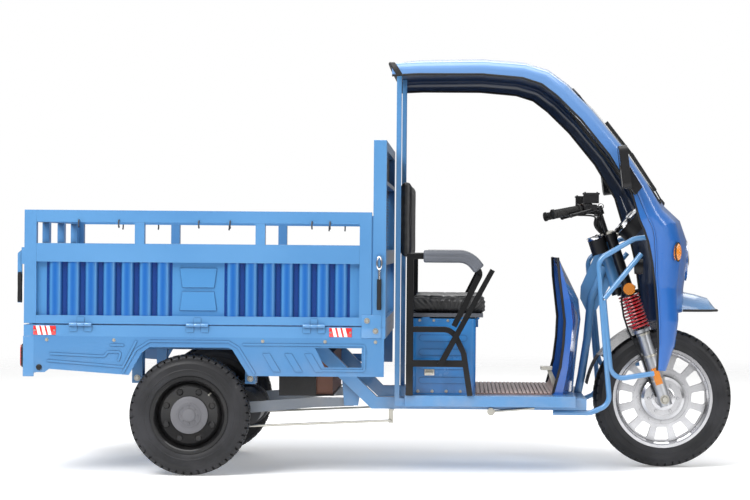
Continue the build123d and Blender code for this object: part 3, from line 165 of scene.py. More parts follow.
class Finish(Nodes):
    """One material: its shader and the patterns that run over it in object coordinates."""

    def __init__(self, name, **constants):
        self.material = bpy.data.materials.new(name)
        self.material.use_nodes = True
        super().__init__(self.material.node_tree)
        self.shader = self.tree.nodes["Principled BSDF"]
        self.place = self.node("ShaderNodeTexCoord", out="Object")
        self.undercoat = None
        for socket, value in constants.items():
            self.give(socket, value)

    def give(self, socket, value):
        """Sets or links a socket of the shader; Coat_Weight stands for Coat Weight."""
        self.set(self.shader.inputs[socket.replace("_", " ")], value)

    def base_colour(self):
        """What the shader's colour is linked to so far."""
        return Signal(self, self.shader.inputs["Base Color"].links[0].from_socket)

    def axis(self, letter):
        return self.part(self.place, letter)

    def noise(self, scale, detail=3.0, stretch=None):
        place = self.place
        if stretch:
            place = self.node("ShaderNodeMapping", None, {"Vector": place, "Scale": stretch})
        sockets = {"Vector": place, "Scale": scale, "Detail": detail}
        return self.node("ShaderNodeTexNoise", None, sockets, "Fac")

    def cells(self, scale):
        return self.node("ShaderNodeTexVoronoi", None, {"Vector": self.place, "Scale": scale}, "Distance")

    def mix(self, share, first, second):
        sockets = {0: share, mix_first: first, mix_second: second}
        return self.node("ShaderNodeMix", {"data_type": "RGBA"}, sockets, mix_result)

    def corner_shade(self, reach):
        """0 in the open, towards 1 in corners and beside raised forms: the mask of painted shade there."""
        settings = {"samples": 6, "only_local": True}
        return 1 - self.node("ShaderNodeAmbientOcclusion", settings, {"Distance": reach}, "AO")

    def bump(self, height, distance, strength):
        sockets = {"Height": height, "Distance": distance, "Strength": strength}
        self.give("Normal", self.node("ShaderNodeBump", None, sockets))


def colour(red, green, blue):
    return (red, green, blue, 1.0)


def toned(tone, share, lift=0.0):
    """A paler or deeper version of a tone."""
    return colour(*(share * part + lift for part in tone[:3]))


# Finishes
dust = colour(0.42, 0.38, 0.33)
black_flap = colour(0.015, 0.015, 0.016)
flap_top_z, flap_front_x = 0.494, 1.0
wire_pitch = 0.014
sheet_foot_z = 1.232
# Where the side boards' plain plate and last flute lie along the bed, from the plate's middle
plate_mid_x = -0.7725
plate_half = 0.1085
last_flute = 0.6335
# Where the flutes start on the side boards and on the tailgate, and how far they stand out
flute_foot_y = 0.479
flute_foot_x = 1.475
flute_rise = 0.018
# A striped reflector's left edge, the step to the next one, its middle height and its stripes
stripe_start = 1.456
stripe_repeat = 1.233
stripe_mid_z = 0.605
stripe_pitch = 0.0217


def paint(name, tone, deep_tone, roughness=0.30, coat=0.7, grime=0.35, shine=0.5):
    """Sprayed enamel: slow drifts of tone, orange peel, painted shade in corners, and road dust low down.

    Its undercoat is the socket that takes the tone, for a finish that paints a pattern there.
    """
    finish = Finish(name, Coat_Roughness=0.06, IOR=1.45, Specular_IOR_Level=shine)
    body = finish.mix(finish.noise(2.2, 2.0).steps(0.25, 0.75), tone, deep_tone)
    near_road = 1 - finish.axis("Z").steps(0.10, 0.62)
    low = near_road * finish.noise(9.0, 5.0).steps(0.38, 0.8) * grime
    dusty = finish.mix(low, body, dust)
    finish.undercoat = dusty.socket.node.inputs[mix_first]
    # Painted shade: corners and the sides of raised forms darken towards a deep tone
    corners = finish.corner_shade(0.045).steps(0.06, 0.75)
    finish.give("Base_Color", finish.mix(corners, dusty, toned(deep_tone, 0.16)))
    finish.give("Roughness", roughness + low * 0.5 + finish.noise(60.0, 2.0) * 0.06)
    finish.give("Coat_Weight", coat - low * coat)
    finish.bump(finish.noise(300.0, 1.0), 0.0001, 0.35)
    return finish


def moulded_hood(name, low_tone, top_light_tone, inner_shade):
    """Glossy painted moulding, paler towards the roof by painted light, whose inner faces are darkened by
    painted shade.

    The inner faces are those that look down, back or to the middle.
    """
    finish = paint(name, low_tone, low_tone, 0.26, 0.55)
    # Painted light: the moulding pales with height towards the roof
    top_light_share = finish.axis("Z").steps(0.9, 1.72)
    finish.set(finish.undercoat, finish.mix(top_light_share, low_tone, top_light_tone))
    # Painted shade: faces that look down, back or to the middle are darkened to a deep navy
    normal = finish.node("ShaderNodeNewGeometry", out="Normal")
    along, across, up = (finish.part(normal, letter) for letter in "XYZ")
    inward = across * finish.axis("Y") * -4
    inside = inward.most((along * -1).most(up * -1)).steps(0.3, 0.45)
    finish.give("Base_Color", finish.mix(inside, finish.base_colour(), inner_shade))
    return finish


def fluted_paint(name, embossed, valley_shade, flank_highlight, crest):
    """Enamel on pressed flutes: painted shade deep in the valleys and a painted highlight, palest on the
    flanks.
    """
    finish = paint(name, crest, crest, 0.22, 0.9)
    side, tail = finish.axis("Y").size(), finish.axis("X").size()
    from_plate = (finish.axis("X") - plate_mid_x).size()
    unfluted = from_plate.below(plate_half) + from_plate.above(last_flute)
    plain = unfluted * side.above(flute_foot_y - 0.009) * tail.below(flute_foot_x - 0.005)
    on_side = (side - flute_foot_y) * (1 / flute_rise)
    on_tail = (tail - flute_foot_x) * (1 / flute_rise)
    half_way = tuple(0.25 * near + 0.75 * far for near, far in zip(flank_highlight, valley_shade))
    # Painted shade in the valleys and a painted highlight on the flanks, by how far each place stands out
    stops = [(0.0, valley_shade), (0.32, half_way), (0.72, flank_highlight), (1.0, crest)]
    flute = finish.node("ShaderNodeValToRGB", {"stops": stops}, {"Fac": on_side.most(on_tail)})
    finish.set(finish.undercoat, finish.mix(plain, flute, embossed))
    return finish


def bright_guard(name):
    """Polished guard with a black rubber flap below it."""
    finish = metal(name, colour(0.70, 0.70, 0.71), 0.2)
    flap = finish.axis("Z").below(flap_top_z) * finish.axis("X").below(flap_front_x)
    finish.give("Base_Color", finish.mix(flap, finish.base_colour(), black_flap))
    finish.give("Metallic", 1 - flap)
    finish.give("Roughness", 0.22 + flap * 0.45)
    return finish


def headboard_mesh(name):
    """Dark sheet above, woven wire below."""
    finish = plastic(name, colour(0.035, 0.04, 0.05), 0.55)
    wire, cross = ((finish.axis(letter) * (math.pi / wire_pitch)).wave().size() for letter in "YZ")
    solid = finish.axis("Z").above(sheet_foot_z)
    finish.give("Alpha", wire.least(cross).below(0.3).most(solid))
    return finish


def striped_lens(name):
    """Slanting red and white reflector tape between plain red ends."""
    finish = Finish(name, Roughness=0.18, Coat_Weight=0.6)
    along = (finish.axis("X") + stripe_start).math("MODULO", stripe_repeat)
    slant = along + (finish.axis("Z") - stripe_mid_z) * 0.25
    stripes = ((slant - 0.022) * (2 * math.pi / stripe_pitch)).math("COSINE")
    white = stripes.above(-0.35) * slant.above(0.0115) * slant.below(0.0755)
    grain = finish.cells(900.0)
    red = finish.mix(grain.steps(0.1, 0.6) * 0.25, colour(0.72, 0.03, 0.03), colour(0.45, 0.015, 0.015))
    finish.give("Base_Color", finish.mix(white, red, colour(0.85, 0.84, 0.82)))
    finish.bump(grain, 0.0003, 0.4)
    return finish


def rubber(name, tone, worn_tone):
    """Moulded rubber with a fine grain, a grey bloom and painted shade in its corners."""
    finish = Finish(name, Specular_IOR_Level=0.35)
    bloom = finish.noise(7.0, 6.0).steps(0.35, 0.75)
    faded = finish.mix(bloom, tone, worn_tone)
    # Painted shade: corners darken towards a deeper tone
    corners = finish.corner_shade(0.012).steps(0.05, 0.6)
    finish.give("Base_Color", finish.mix(corners, faded, toned(tone, 0.2)))
    finish.give("Roughness", 0.46 + bloom * 0.22)
    finish.bump(finish.noise(700.0, 2.0), 0.0004, 0.5)
    return finish


def plastic(name, tone, roughness):
    """Moulded plastic with a pebbled grain."""
    finish = Finish(name, Specular_IOR_Level=0.35)
    drift = finish.noise(5.0, 3.0)
    finish.give("Base_Color", finish.mix(drift.steps(0.3, 0.8), tone, toned(tone, 1.3, 0.003)))
    finish.give("Roughness", roughness + drift * 0.12)
    finish.bump(finish.cells(900.0), 0.0003, 0.6)
    return finish


def metal(name, tone, roughness, scratches=0.10):
    """Bare metal with a drawn grain, small changes of polish and painted shade in its corners."""
    finish = Finish(name, Metallic=1.0)
    drawn = finish.noise(3.0, 3.0, (6.0, 260.0, 260.0))
    patch = finish.noise(14.0, 4.0)
    unshaded = finish.mix(patch.steps(0.3, 0.85) * 0.5, tone, toned(tone, 0.62))
    # Painted shade: corners darken almost to black
    corners = finish.corner_shade(0.03).steps(0.05, 0.7)
    finish.give("Base_Color", finish.mix(corners, unshaded, toned(tone, 0.12)))
    finish.give("Roughness", roughness + drawn * scratches + patch * 0.08)
    finish.bump(drawn, 0.00008, 0.4)
    return finish


def lens(name, tone):
    """Coloured clear plastic with moulded prisms behind a glossy face."""
    finish = Finish(name, Roughness=0.12, Coat_Roughness=0.03, Coat_Weight=0.8)
    upright, level = ((finish.axis(letter) * 520.0).wave() for letter in "ZX")
    prism = upright * level
    finish.give("Base_Color", finish.mix(prism.steps(-0.6, 0.8), toned(tone, 0.45), tone))
    finish.bump(prism, 0.0006, 0.5)
    return finish


def leather(name, tone):
    """Pebbled upholstery cover with fine wrinkles."""
    finish = Finish(name, Specular_IOR_Level=0.6)
    wrinkle = finish.noise(38.0, 4.0, (1.0, 0.5, 2.0))
    finish.give("Base_Color", finish.mix(wrinkle.steps(0.4, 0.75), tone, toned(tone, 1.0, 0.010)))
    finish.give("Roughness", 0.27 + wrinkle * 0.2)
    finish.bump(finish.cells(420.0) * 0.4 + wrinkle, 0.0012, 0.55)
    return finish


def clear_screen(name):
    """Thin clear sheet with a faint tint and a little dust."""
    finish = Finish(name, Roughness=0.03, IOR=1.45, Base_Color=colour(0.62, 0.72, 0.78))
    haze = finish.noise(4.0, 4.0).steps(0.45, 0.8)
    finish.give("Alpha", 0.16 + haze * 0.06)
    return finish


# Maker, name and tones, then what the maker takes after them: a paint's roughness, coat, grime and
# shine, a metal's roughness and scratches, or a plastic's roughness
finish_rows = [
    (paint, "blue_paint", colour(0.092, 0.257, 0.50), colour(0.072, 0.222, 0.455)),
    # Painted shade: the skirts take a darker copy of the frame's blue
    (paint, "skirt_blue", colour(0.075, 0.225, 0.45), colour(0.058, 0.19, 0.41), 0.26, 0.8),
    (paint, "box_blue", colour(0.03, 0.20, 0.50), colour(0.02, 0.155, 0.43), 0.22, 0.9),
    (paint, "deep_blue_paint", colour(0.028, 0.125, 0.44), colour(0.02, 0.10, 0.38), 0.16, 1.0),
    (paint, "arm_grey", colour(0.24, 0.27, 0.31), colour(0.19, 0.21, 0.24), 0.4, 0.2, 0.6),
    (paint, "red_spring", colour(0.50, 0.012, 0.02), colour(0.40, 0.01, 0.018), 0.25, 0.6, 0.1),
    (
        paint, "black_paint", colour(0.004, 0.004, 0.0045), colour(0.008, 0.008, 0.009),
        0.30, 0.25, 0.05, 0.3,
    ),
    # hood_blue: its own tone, a paler tone of painted light for the roof, and a deep navy of painted shade
    # for its inner faces
    (
        moulded_hood, "hood_blue", colour(0.004, 0.112, 0.43), colour(0.12, 0.25, 0.50),
        colour(0.008, 0.022, 0.06),
    ),
    # panel_blue: the plain plate's tone, then the painted shade of the valleys, the painted highlight of the
    # flanks and the crests' tone
    (
        fluted_paint, "panel_blue", colour(0.062, 0.225, 0.48), colour(0.001, 0.035, 0.21),
        colour(0.062, 0.235, 0.50), colour(0.006, 0.10, 0.37),
    ),
    (metal, "leg_alloy", colour(0.46, 0.47, 0.49), 0.34),
    (metal, "cast_alloy", colour(0.60, 0.60, 0.62), 0.13),
    (metal, "chrome", colour(0.86, 0.86, 0.88), 0.06, 0.04),
    (metal, "zinc_steel", colour(0.56, 0.54, 0.48), 0.32),
    (metal, "dark_steel", colour(0.10, 0.10, 0.105), 0.45),
    (rubber, "tyre_rubber", colour(0.009, 0.009, 0.0105), colour(0.028, 0.028, 0.032)),
    (rubber, "black_rubber", colour(0.006, 0.006, 0.006), colour(0.016, 0.016, 0.016)),
    (rubber, "mat_rubber", colour(0.24, 0.165, 0.15), colour(0.36, 0.27, 0.255)),
    (plastic, "grey_plastic", colour(0.088, 0.095, 0.112), 0.34),
    (plastic, "black_plastic", colour(0.006, 0.006, 0.007), 0.36),
    (plastic, "grey_cap", colour(0.11, 0.11, 0.12), 0.45),
    (plastic, "battery_case", colour(0.13, 0.06, 0.04), 0.6),
    (lens, "orange_lens", colour(0.95, 0.30, 0.02)),
    (lens, "red_lens", colour(0.75, 0.02, 0.02)),
    (lens, "lamp_lens", colour(0.82, 0.85, 0.88)),
    (leather, "seat_cover", colour(0.006, 0.006, 0.007)),
    (bright_guard, "bright_guard"),
    (headboard_mesh, "headboard_mesh"),
    (striped_lens, "striped_lens"),
    (clear_screen, "screen_glass"),
]
finishes = {name: maker(name, *looks) for maker, name, *looks in finish_rows}

# Nodes whose finish is more than their slot's plain one
own_finish = {
    "side_board_panel_left": "panel_blue", "side_board_panel_right": "panel_blue",
    "tailgate_panel": "panel_blue", "roof": "hood_blue", "fairing": "hood_blue", "seat_box": "box_blue",
    "bed_skirts": "skirt_blue", "front_latches": "blue_paint", "front_mudguard": "bright_guard",
    "headboard_sheets": "headboard_mesh", "radius_arms": "arm_grey", "fork_lowers": "leg_alloy",
    "brake_pedal": "zinc_steel",
}
for name, node in nodes.items():
    node.data.materials.clear()
    node.data.materials.append(finishes[own_finish.get(name, slot_of[name])].material)


# Making pieces
def linked(name, data):
    """A new object in the scene that holds the data."""
    made = bpy.data.objects.new(name, data)
    bpy.context.scene.collection.objects.link(made)
    return made


def meshed(name, shape):
    """The mesh of a bmesh, which is done with."""
    mesh = bpy.data.meshes.new(name)
    shape.to_mesh(mesh)
    shape.free()
    return mesh


def piece(name, shape, finish, body, hides=(), sharp_deg=38):
    """Turns a bmesh into a piece that rides on a body, its normals facing out."""
    bmesh.ops.recalc_face_normals(shape, faces=shape.faces)
    for face in shape.faces:
        face.smooth = True
    mesh = meshed(name, shape)
    mesh.set_sharp_from_angle(angle=math.radians(sharp_deg))
    mesh.materials.append(finishes[finish].material)
    made = linked(name, mesh)
    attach(made, body)
    if hides:
        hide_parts(*hides)
    return made


def turns(count):
    return [2 * math.pi * index / count for index in range(count)]


def round_outline(radius, sides=10):
    return [(radius * math.cos(turn), radius * math.sin(turn)) for turn in turns(sides)]


def slab_outline(width, height, corner):
    """A rectangle with cut corners, for a swept strip."""
    w, h = width / 2, height / 2
    return [
        (-w + corner, -h), (w - corner, -h), (w, -h + corner), (w, h - corner),
        (w - corner, h), (-w + corner, h), (-w, h - corner), (-w, -h + corner),
    ]


def rounded_ring(half_a, half_b, corner, steps):
    """Places round a rectangle with rounded corners, from its middle."""
    ring = []
    for a, b, start in ((1, 1, 0), (-1, 1, 90), (-1, -1, 180), (1, -1, 270)):
        for step in range(steps + 1):
            turn = math.radians(start + 90 * step / steps)
            along = a * (half_a - corner) + corner * math.cos(turn)
            across = b * (half_b - corner) + corner * math.sin(turn)
            ring.append((along, across))
    return ring


def only(kind, parts):
    return [part for part in parts if isinstance(part, kind)]


def swept(shape, points, outline, up=(0, 0, 1), ring=False):
    """Draws an outline of (side, up) corners along points, extruding it from each to the next."""
    path = [Vector(point) for point in points]
    last = len(path) - 1
    stations = []
    for index, here in enumerate(path):
        ahead = path[(index + 1) % len(path)] if ring else path[min(index + 1, last)]
        behind = path[index - 1] if ring else path[max(index - 1, 0)]
        way = (ahead - behind).normalized()
        side = way.cross(Vector(up)).normalized()
        turned = Matrix((side, side.cross(way), way)).transposed().to_4x4()
        stations.append(Matrix.Translation(here) @ turned)
    corners = [shape.verts.new(stations[0] @ Vector((across, rise, 0.0))) for across, rise in outline]
    first = [shape.edges.new((corners[index - 1], corner)) for index, corner in enumerate(corners)]
    loop = first
    for before, after in zip(stations, stations[1:]):
        grown = bmesh.ops.extrude_edge_only(shape, edges=loop)["geom"]
        loop = [edge for edge in only(bmesh.types.BMEdge, grown) if edge.is_boundary]
        corners = only(bmesh.types.BMVert, grown)
        bmesh.ops.transform(shape, matrix=after @ before.inverted(), verts=corners)
    if ring:
        bmesh.ops.bridge_loops(shape, edges=first + loop)
    else:
        bmesh.ops.edgeloop_fill(shape, edges=first)
        bmesh.ops.edgeloop_fill(shape, edges=loop)


def spun(shape, profile, place, way=(0, 1, 0), steps=48):
    """Spins (radius, along) corners about an axis through a place; a ring's profile is closed."""
    axis = Vector(way).normalized()
    side = axis.orthogonal().normalized()
    place = Vector(place)
    corners = [shape.verts.new(place + side * radius + axis * along) for radius, along in profile]
    edges = [shape.edges.new(ends) for ends in zip(corners, corners[1:])]
    ends_on_axis = profile[-1][0] == 0
    if not ends_on_axis:
        edges.append(shape.edges.new((corners[-1], corners[0])))
    spin = {"cent": place, "axis": axis, "angle": 2 * math.pi, "steps": steps, "use_merge": True}
    bmesh.ops.spin(shape, geom=corners + edges, **spin)
    bmesh.ops.remove_doubles(shape, verts=shape.verts, dist=1e-5)


def collar(shape, place, way, inner, outer, half_foot, half_top, steps):
    """A ring round a rod, longer at its foot than at its top."""
    profile = [(inner, -half_foot), (outer, -half_top), (outer, half_top), (inner, half_foot)]
    spun(shape, profile, place, way, steps)


def flat_ring(shape, place, way, inner, outer, height, steps):
    """A band that stands on a face."""
    spun(shape, [(outer, 0.0), (outer, height), (inner, height), (inner, 0.0)], place, way, steps)


def bolt(shape, place, way, radius):
    """A hexagon head on a washer."""
    facing = Vector(way).to_track_quat("Z", "Y").to_matrix().to_4x4()
    at = Matrix.Translation(Vector(place)) @ facing
    washer_h, head_h = 0.25 * radius, 0.7 * radius
    for sides, wide, narrow, low, height in ((20, 1.5, 1.45, 0.0, washer_h), (6, 1.0, 0.9, washer_h, head_h)):
        middle = at @ Matrix.Translation((0, 0, low + height / 2))
        radii = {"radius1": wide * radius, "radius2": narrow * radius}
        bmesh.ops.create_cone(shape, cap_ends=True, segments=sides, depth=height, matrix=middle, **radii)


def plate(shape, low, high, corner=0.002):
    """A slab between two corners with softened edges."""
    low, high = Vector(low), Vector(high)
    size = Matrix.Diagonal((high - low).to_4d())
    size[3][3] = 1.0
    made = bmesh.ops.create_cube(shape, size=1.0, matrix=Matrix.Translation((low + high) / 2) @ size)
    edges = list({edge for corner_point in made["verts"] for edge in corner_point.link_edges})
    bmesh.ops.bevel(shape, geom=edges, offset=corner, affect="EDGES", segments=2, profile=0.5, material=-1)


def ball(shape, place, radius):
    at = Matrix.Translation(place)
    bmesh.ops.create_uvsphere(shape, u_segments=16, v_segments=10, radius=radius, matrix=at)


def settled(rough):
    """The mesh that an object's modifiers give now."""
    return bpy.data.meshes.new_from_object(rough.evaluated_get(bpy.context.evaluated_depsgraph_get()))


def pipe(shape, points, radius, sides=3):
    """A smooth bent pipe that the points steer."""
    line = bpy.data.curves.new("pipe", "CURVE")
    line.dimensions = "3D"
    line.bevel_depth, line.bevel_resolution = radius, sides
    line.use_fill_caps = True
    run = line.splines.new("NURBS")
    run.points.add(len(points) - 1)
    for point, place in zip(run.points, points):
        point.co = Vector(place).to_4d()
    run.order_u = 3
    run.use_endpoint_u = True
    run.resolution_u = 6
    holder = linked("pipe", line)
    shape.from_mesh(settled(holder))
    bpy.data.objects.remove(holder)


def welded(name):
    """A solid's node, its loose triangles joined."""
    node = nodes[name]
    node.modifiers.new("weld", "WELD").merge_threshold = 0.0001
    return node


def smooth_solid(name, split_deg=32):
    """Smooth shading over a solid's facets, kept crisp at its real edges."""
    node = welded(name)
    node.modifiers.new("split", "EDGE_SPLIT").split_angle = math.radians(split_deg)
    node.modifiers.new("normals", "WEIGHTED_NORMAL")


def soften(name, width=0.002):
    """Small rounded edges on a boxy solid, so that they catch the light."""
    edges = welded(name).modifiers.new("edges", "BEVEL")
    edges.width = width
    edges.segments = 2
    edges.limit_method = "ANGLE"
    edges.angle_limit = math.radians(50)
    edges.harden_normals = True


# Places in the machine's frame, in metres
front_axle = Vector((1.219, 0.0, 0.306))
rear_axle = Vector((-0.807, 0.0, 0.254))
rear_half_track = 0.450
rake = math.radians(18.5)
fork_up = Vector((-math.sin(rake), 0.0, math.cos(rake)))
fork_ahead = Vector((math.cos(rake), 0.0, math.sin(rake)))
leg_y = 0.100
riser_half = 0.040
crown_top = 0.763
bar_up = 0.873
grip_start = Vector((0.830, 0.290, 1.131))
grip_way = Vector((-0.88, 0.44, -0.176)).normalized()
pod_length = 0.044
pod_radius = 0.022
arm_pad_half = 0.0265
arm_y = 0.400
bed_face = 0.4995
tail_lamp_y, tail_lamp_z = 0.400, 0.4965
named_sides = (("left", 1), ("right", -1))


def on_fork(x, y, z):
    """A place ahead of, beside and above the front axle, leaning with the fork."""
    return front_axle + fork_ahead * x + Vector((0.0, y, 0.0)) + fork_up * z


def around(radius, turn):
    """A place on a wheel, from its middle."""
    return Vector((radius * math.cos(turn), 0.0, radius * math.sin(turn)))


# Tyres
# Share of the section's depth above the bead, share of its half width; the last six carry the tread
tyre_half = [
    (0.0, 0.62), (0.02, 0.72), (0.08, 0.80), (0.16, 0.875), (0.28, 0.945), (0.33, 0.962), (0.345, 0.99),
    (0.39, 0.998), (0.405, 0.982), (0.5, 0.997), (0.58, 0.99), (0.595, 1.0), (0.66, 0.985), (0.675, 0.965),
    (0.76, 0.925), (0.84, 0.87), (0.91, 0.76), (0.958, 0.62), (0.966, 0.54), (0.986, 0.34), (1.0, 0.06),
]
tread_first = 15
tread_h = 0.005
steps_per_lug = 4
# Bands of the tread, counted from its shoulder, that carry blocks, and the first of the inner ones
block_bands = (1, 2, 4, 5)
inner_band = 4


def tyre(name, node, body, place, radius, width, bead_r, lugs):
    """Carcass with ribbed sidewalls and staggered tread blocks."""
    depth = radius - tread_h - bead_r
    section = [(bead_r + depth * up, width / 2 * out) for up, out in tyre_half]
    band_edges = [out for _, out in section[tread_first:]]
    section += [(r, -y) for r, y in reversed(section)]
    steps = lugs * steps_per_lug
    shape = bmesh.new()
    spun(shape, section, place, (0, 1, 0), steps)
    blocks = []
    for face in shape.faces:
        out = face.calc_center_median() - place
        band = sum(abs(out.y) < edge for edge in band_edges)
        on_crown = math.hypot(out.x, out.z) > bead_r + depth / 2
        step = math.floor(math.atan2(out.z, out.x) / (2 * math.pi) * steps)
        far_side, inner = out.y < -band_edges[inner_band], band >= inner_band
        staggered = step + 2 * far_side + 2 * inner
        if on_crown and band in block_bands and staggered % steps_per_lug != steps_per_lug - 1:
            blocks.append(face)
    raised = bmesh.ops.extrude_face_region(shape, geom=blocks)
    for corner in only(bmesh.types.BMVert, raised["geom"]):
        out = corner.co - place
        corner.co += Vector((out.x, 0.0, out.z)).normalized() * tread_h
    piece(name, shape, "tyre_rubber", body, [node], sharp_deg=30)


tyre("front_tyre_tread", "front_tyre", "front_wheel", front_axle, 0.306, 0.106, 0.211, 56)
for side_name, side in named_sides:
    hub = rear_axle + Vector((0.0, side * rear_half_track, 0.0))
    tread, wheel = f"rear_tyre_tread_{side_name}", f"rear_wheel_{side_name}"
    tyre(tread, f"rear_tyre_{side_name}", wheel, hub, 0.254, 0.092, 0.153, 48)


# Front wheel, fork and rear hubs
def brake_pipe():
    """Brake pipe clipped down the back of the right fork leg to the drum."""
    line = [
        (-0.030, 0.505), (-0.046, 0.46), (-0.056, 0.40), (-0.056, 0.33),
        (-0.044, 0.26), (-0.034, 0.18), (-0.034, 0.08), (-0.03, 0.02),
    ]
    shape = bmesh.new()
    swept(shape, [on_fork(x, -leg_y, z) for x, z in line], round_outline(0.0042, 8), (0, 1, 0))
    for z in (0.20, 0.09):
        clip = [on_fork(x, -leg_y, z) for x in (-0.024, -0.042)]
        swept(shape, clip, slab_outline(0.014, 0.012, 0.002), (0, 1, 0))
    piece("brake_pipe", shape, "black_rubber", "steering")


def fork_coils():
    """Round-wire springs."""
    per_turn, count, wire, radius = 24, 10, 0.0045, 0.0355
    low, high = 0.3233 + wire, 0.4807 - wire
    shape = bmesh.new()
    for side in (-1, 1):
        points = []
        for index in range(per_turn * count + 1):
            turn = 2 * math.pi * index / per_turn
            rise = low + (high - low) * index / (per_turn * count)
            points.append(on_fork(radius * math.cos(turn), side * leg_y + radius * math.sin(turn), rise))
        swept(shape, points, round_outline(wire, 8), fork_up)
    piece("fork_coils", shape, "red_spring", "steering", ["fork_springs"])


def fork_fittings():
    """Axle nuts, leg collars, crown bolts and caps, and the reflector on each lower leg."""
    steel, orange = bmesh.new(), bmesh.new()
    cap = [(0.0, 0.0), (0.02, 0.0), (0.02, 0.006), (0.014, 0.012), (0.0, 0.012)]
    for side in (-1, 1):
        out = Vector((0, side, 0))
        bolt(steel, front_axle + out * 0.129, out, 0.014)
        for z in (0.30, 0.20, 0.09):
            collar(steel, on_fork(0, side * leg_y, z), fork_up, 0.0281, 0.0315, 0.006, 0.004, 32)
        for z in (0.509, 0.749):
            for y in (leg_y - 0.02, leg_y + 0.012):
                bolt(steel, on_fork(0.0261, side * y, z), fork_ahead, 0.007)
        spun(steel, cap, on_fork(0, side * leg_y, crown_top), fork_up, 6)
        reflector = [on_fork(-0.001, side * 0.1285, z) for z in (0.07, 0.145)]
        swept(orange, reflector, slab_outline(0.032, 0.008, 0.002), out)
    piece("fork_fittings", steel, "zinc_steel", "steering")
    piece("fork_leg_reflectors", orange, "orange_lens", "steering")


def front_drum():
    """Hub flange, bolt rings and polished bands on both sides of the cast rim, and its valve stem."""
    flange = [(0.052, 0.0), (0.052, 0.004), (0.048, 0.006), (0.036, 0.006), (0.034, 0.0)]
    shape = bmesh.new()
    for side in (-1, 1):
        out = Vector((0, side, 0))
        face, web = front_axle + out * 0.058, front_axle + out * 0.011
        spun(shape, flange, face, out, 64)
        flat_ring(shape, face, out, 0.075, 0.080, 0.0025, 64)
        flat_ring(shape, web, out, 0.118, 0.126, 0.004, 72)
        for ground, radius, count, head in ((face, 0.064, 6, 0.0055), (web, 0.108, 12, 0.0045)):
            for turn in turns(count):
                bolt(shape, ground + around(radius, turn), out, head)
    stem = [(0.0, -0.03), (0.004, -0.03), (0.004, 0.0), (0.0, 0.0)]
    spun(shape, stem, front_axle + Vector((0.0, -0.012, 0.196)), (0, -0.5, -1), 12)
    piece("front_drum_rings", shape, "cast_alloy", "front_wheel")


def rear_hubs():
    """Rings and studs of each hub cap, and a valve stem."""
    middle = [(0.026, 0.0), (0.026, 0.004), (0.018, 0.005), (0.0, 0.005)]
    stud = [(0.004, -0.001), (0.0035, 0.002), (0.0, 0.0028)]
    stem = [(0.0045, -0.03), (0.0045, 0.012), (0.0035, 0.014), (0.0035, 0.022), (0.0, 0.022)]
    for side_name, side in named_sides:
        wheel = f"rear_wheel_{side_name}"
        out = Vector((0, side, 0))
        hub = rear_axle + out * rear_half_track
        face = hub + out * 0.036
        grey, brass = bmesh.new(), bmesh.new()
        flat_ring(grey, face, out, 0.044, 0.050, 0.003, 56)
        spun(grey, middle, face, out, 40)
        for turn in turns(8):
            spun(grey, stud, face + around(0.035, turn), out, 10)
        piece(f"hub_cap_rings_{side_name}", grey, "grey_cap", wheel)
        spun(brass, stem, hub + out * 0.012 + Vector((0.09, 0, 0.093)), (-0.5, side, -0.5), 14)
        piece(f"valve_stem_{side_name}", brass, "zinc_steel", wheel)


brake_pipe()
fork_coils()
fork_fittings()
front_drum()
rear_hubs()


# Roof, fairing and their rubber edges
# x and z of the crown, lean in degrees, half width, depth, bow and corner round of each section
HoodRow = namedtuple("HoodRow", "x z lean half depth bow corner")
hood_rows = [HoodRow(*row) for row in (
    (0.028, 1.762, 0, 0.442, 0.078, 0.026, 0.030), (0.140, 1.780, 0, 0.446, 0.090, 0.036, 0.035),
    (0.408, 1.787, 0, 0.450, 0.096, 0.038, 0.035), (0.590, 1.774, 8, 0.450, 0.098, 0.038, 0.035),
    (0.700, 1.742, 26, 0.448, 0.100, 0.038, 0.035), (0.790, 1.676, 42, 0.446, 0.100, 0.036, 0.035),
    (0.900, 1.572, 47, 0.441, 0.102, 0.038, 0.035), (1.030, 1.418, 53, 0.434, 0.105, 0.038, 0.035),
    (1.140, 1.262, 57, 0.428, 0.118, 0.038, 0.040), (1.215, 1.150, 64, 0.424, 0.155, 0.042, 0.055),
    (1.285, 1.088, 77, 0.414, 0.195, 0.048, 0.080), (1.318, 1.000, 88, 0.400, 0.204, 0.054, 0.100),
    (1.320, 0.900, 91, 0.384, 0.186, 0.056, 0.105), (1.306, 0.790, 92, 0.367, 0.158, 0.054, 0.090),
    (1.302, 0.660, 92, 0.355, 0.142, 0.046, 0.080), (1.280, 0.548, 95, 0.344, 0.115, 0.038, 0.065),
    (1.213, 0.442, 95, 0.330, 0.050, 0.010, 0.030),
)]
side_rows = hood_rows[8:16]
screen_out = (0.78, 0, 0.62)


def hood_point(row, across, inward):
    """The place of (across, inward from the crown) in one section."""
    tilt = math.radians(row.lean)
    return Vector((row.x - inward * math.sin(tilt), across, row.z - inward * math.cos(tilt)))


def crown_drop(row, across):
    """How far the bowed crown lies below its middle at a place across."""
    chord = row.half - row.corner
    radius = (chord ** 2 + row.bow ** 2) / (2 * row.bow)
    return radius - math.sqrt(max(radius ** 2 - across ** 2, 0.0))


def on_hood(place, across, proud=0.001):
    """The hood's outer face at a place along the crown and across it, standing proud a little."""
    for row, after in zip(hood_rows, hood_rows[1:]):
        if row.x <= place.x <= after.x and row.z >= place.z - 0.12:
            share = (place.x - row.x) / (after.x - row.x)
            blend = HoodRow(*(near + (far - near) * share for near, far in zip(row, after)))
            return hood_point(blend, across, crown_drop(blend, across) - proud)
    return place + Vector((0, across, 0))


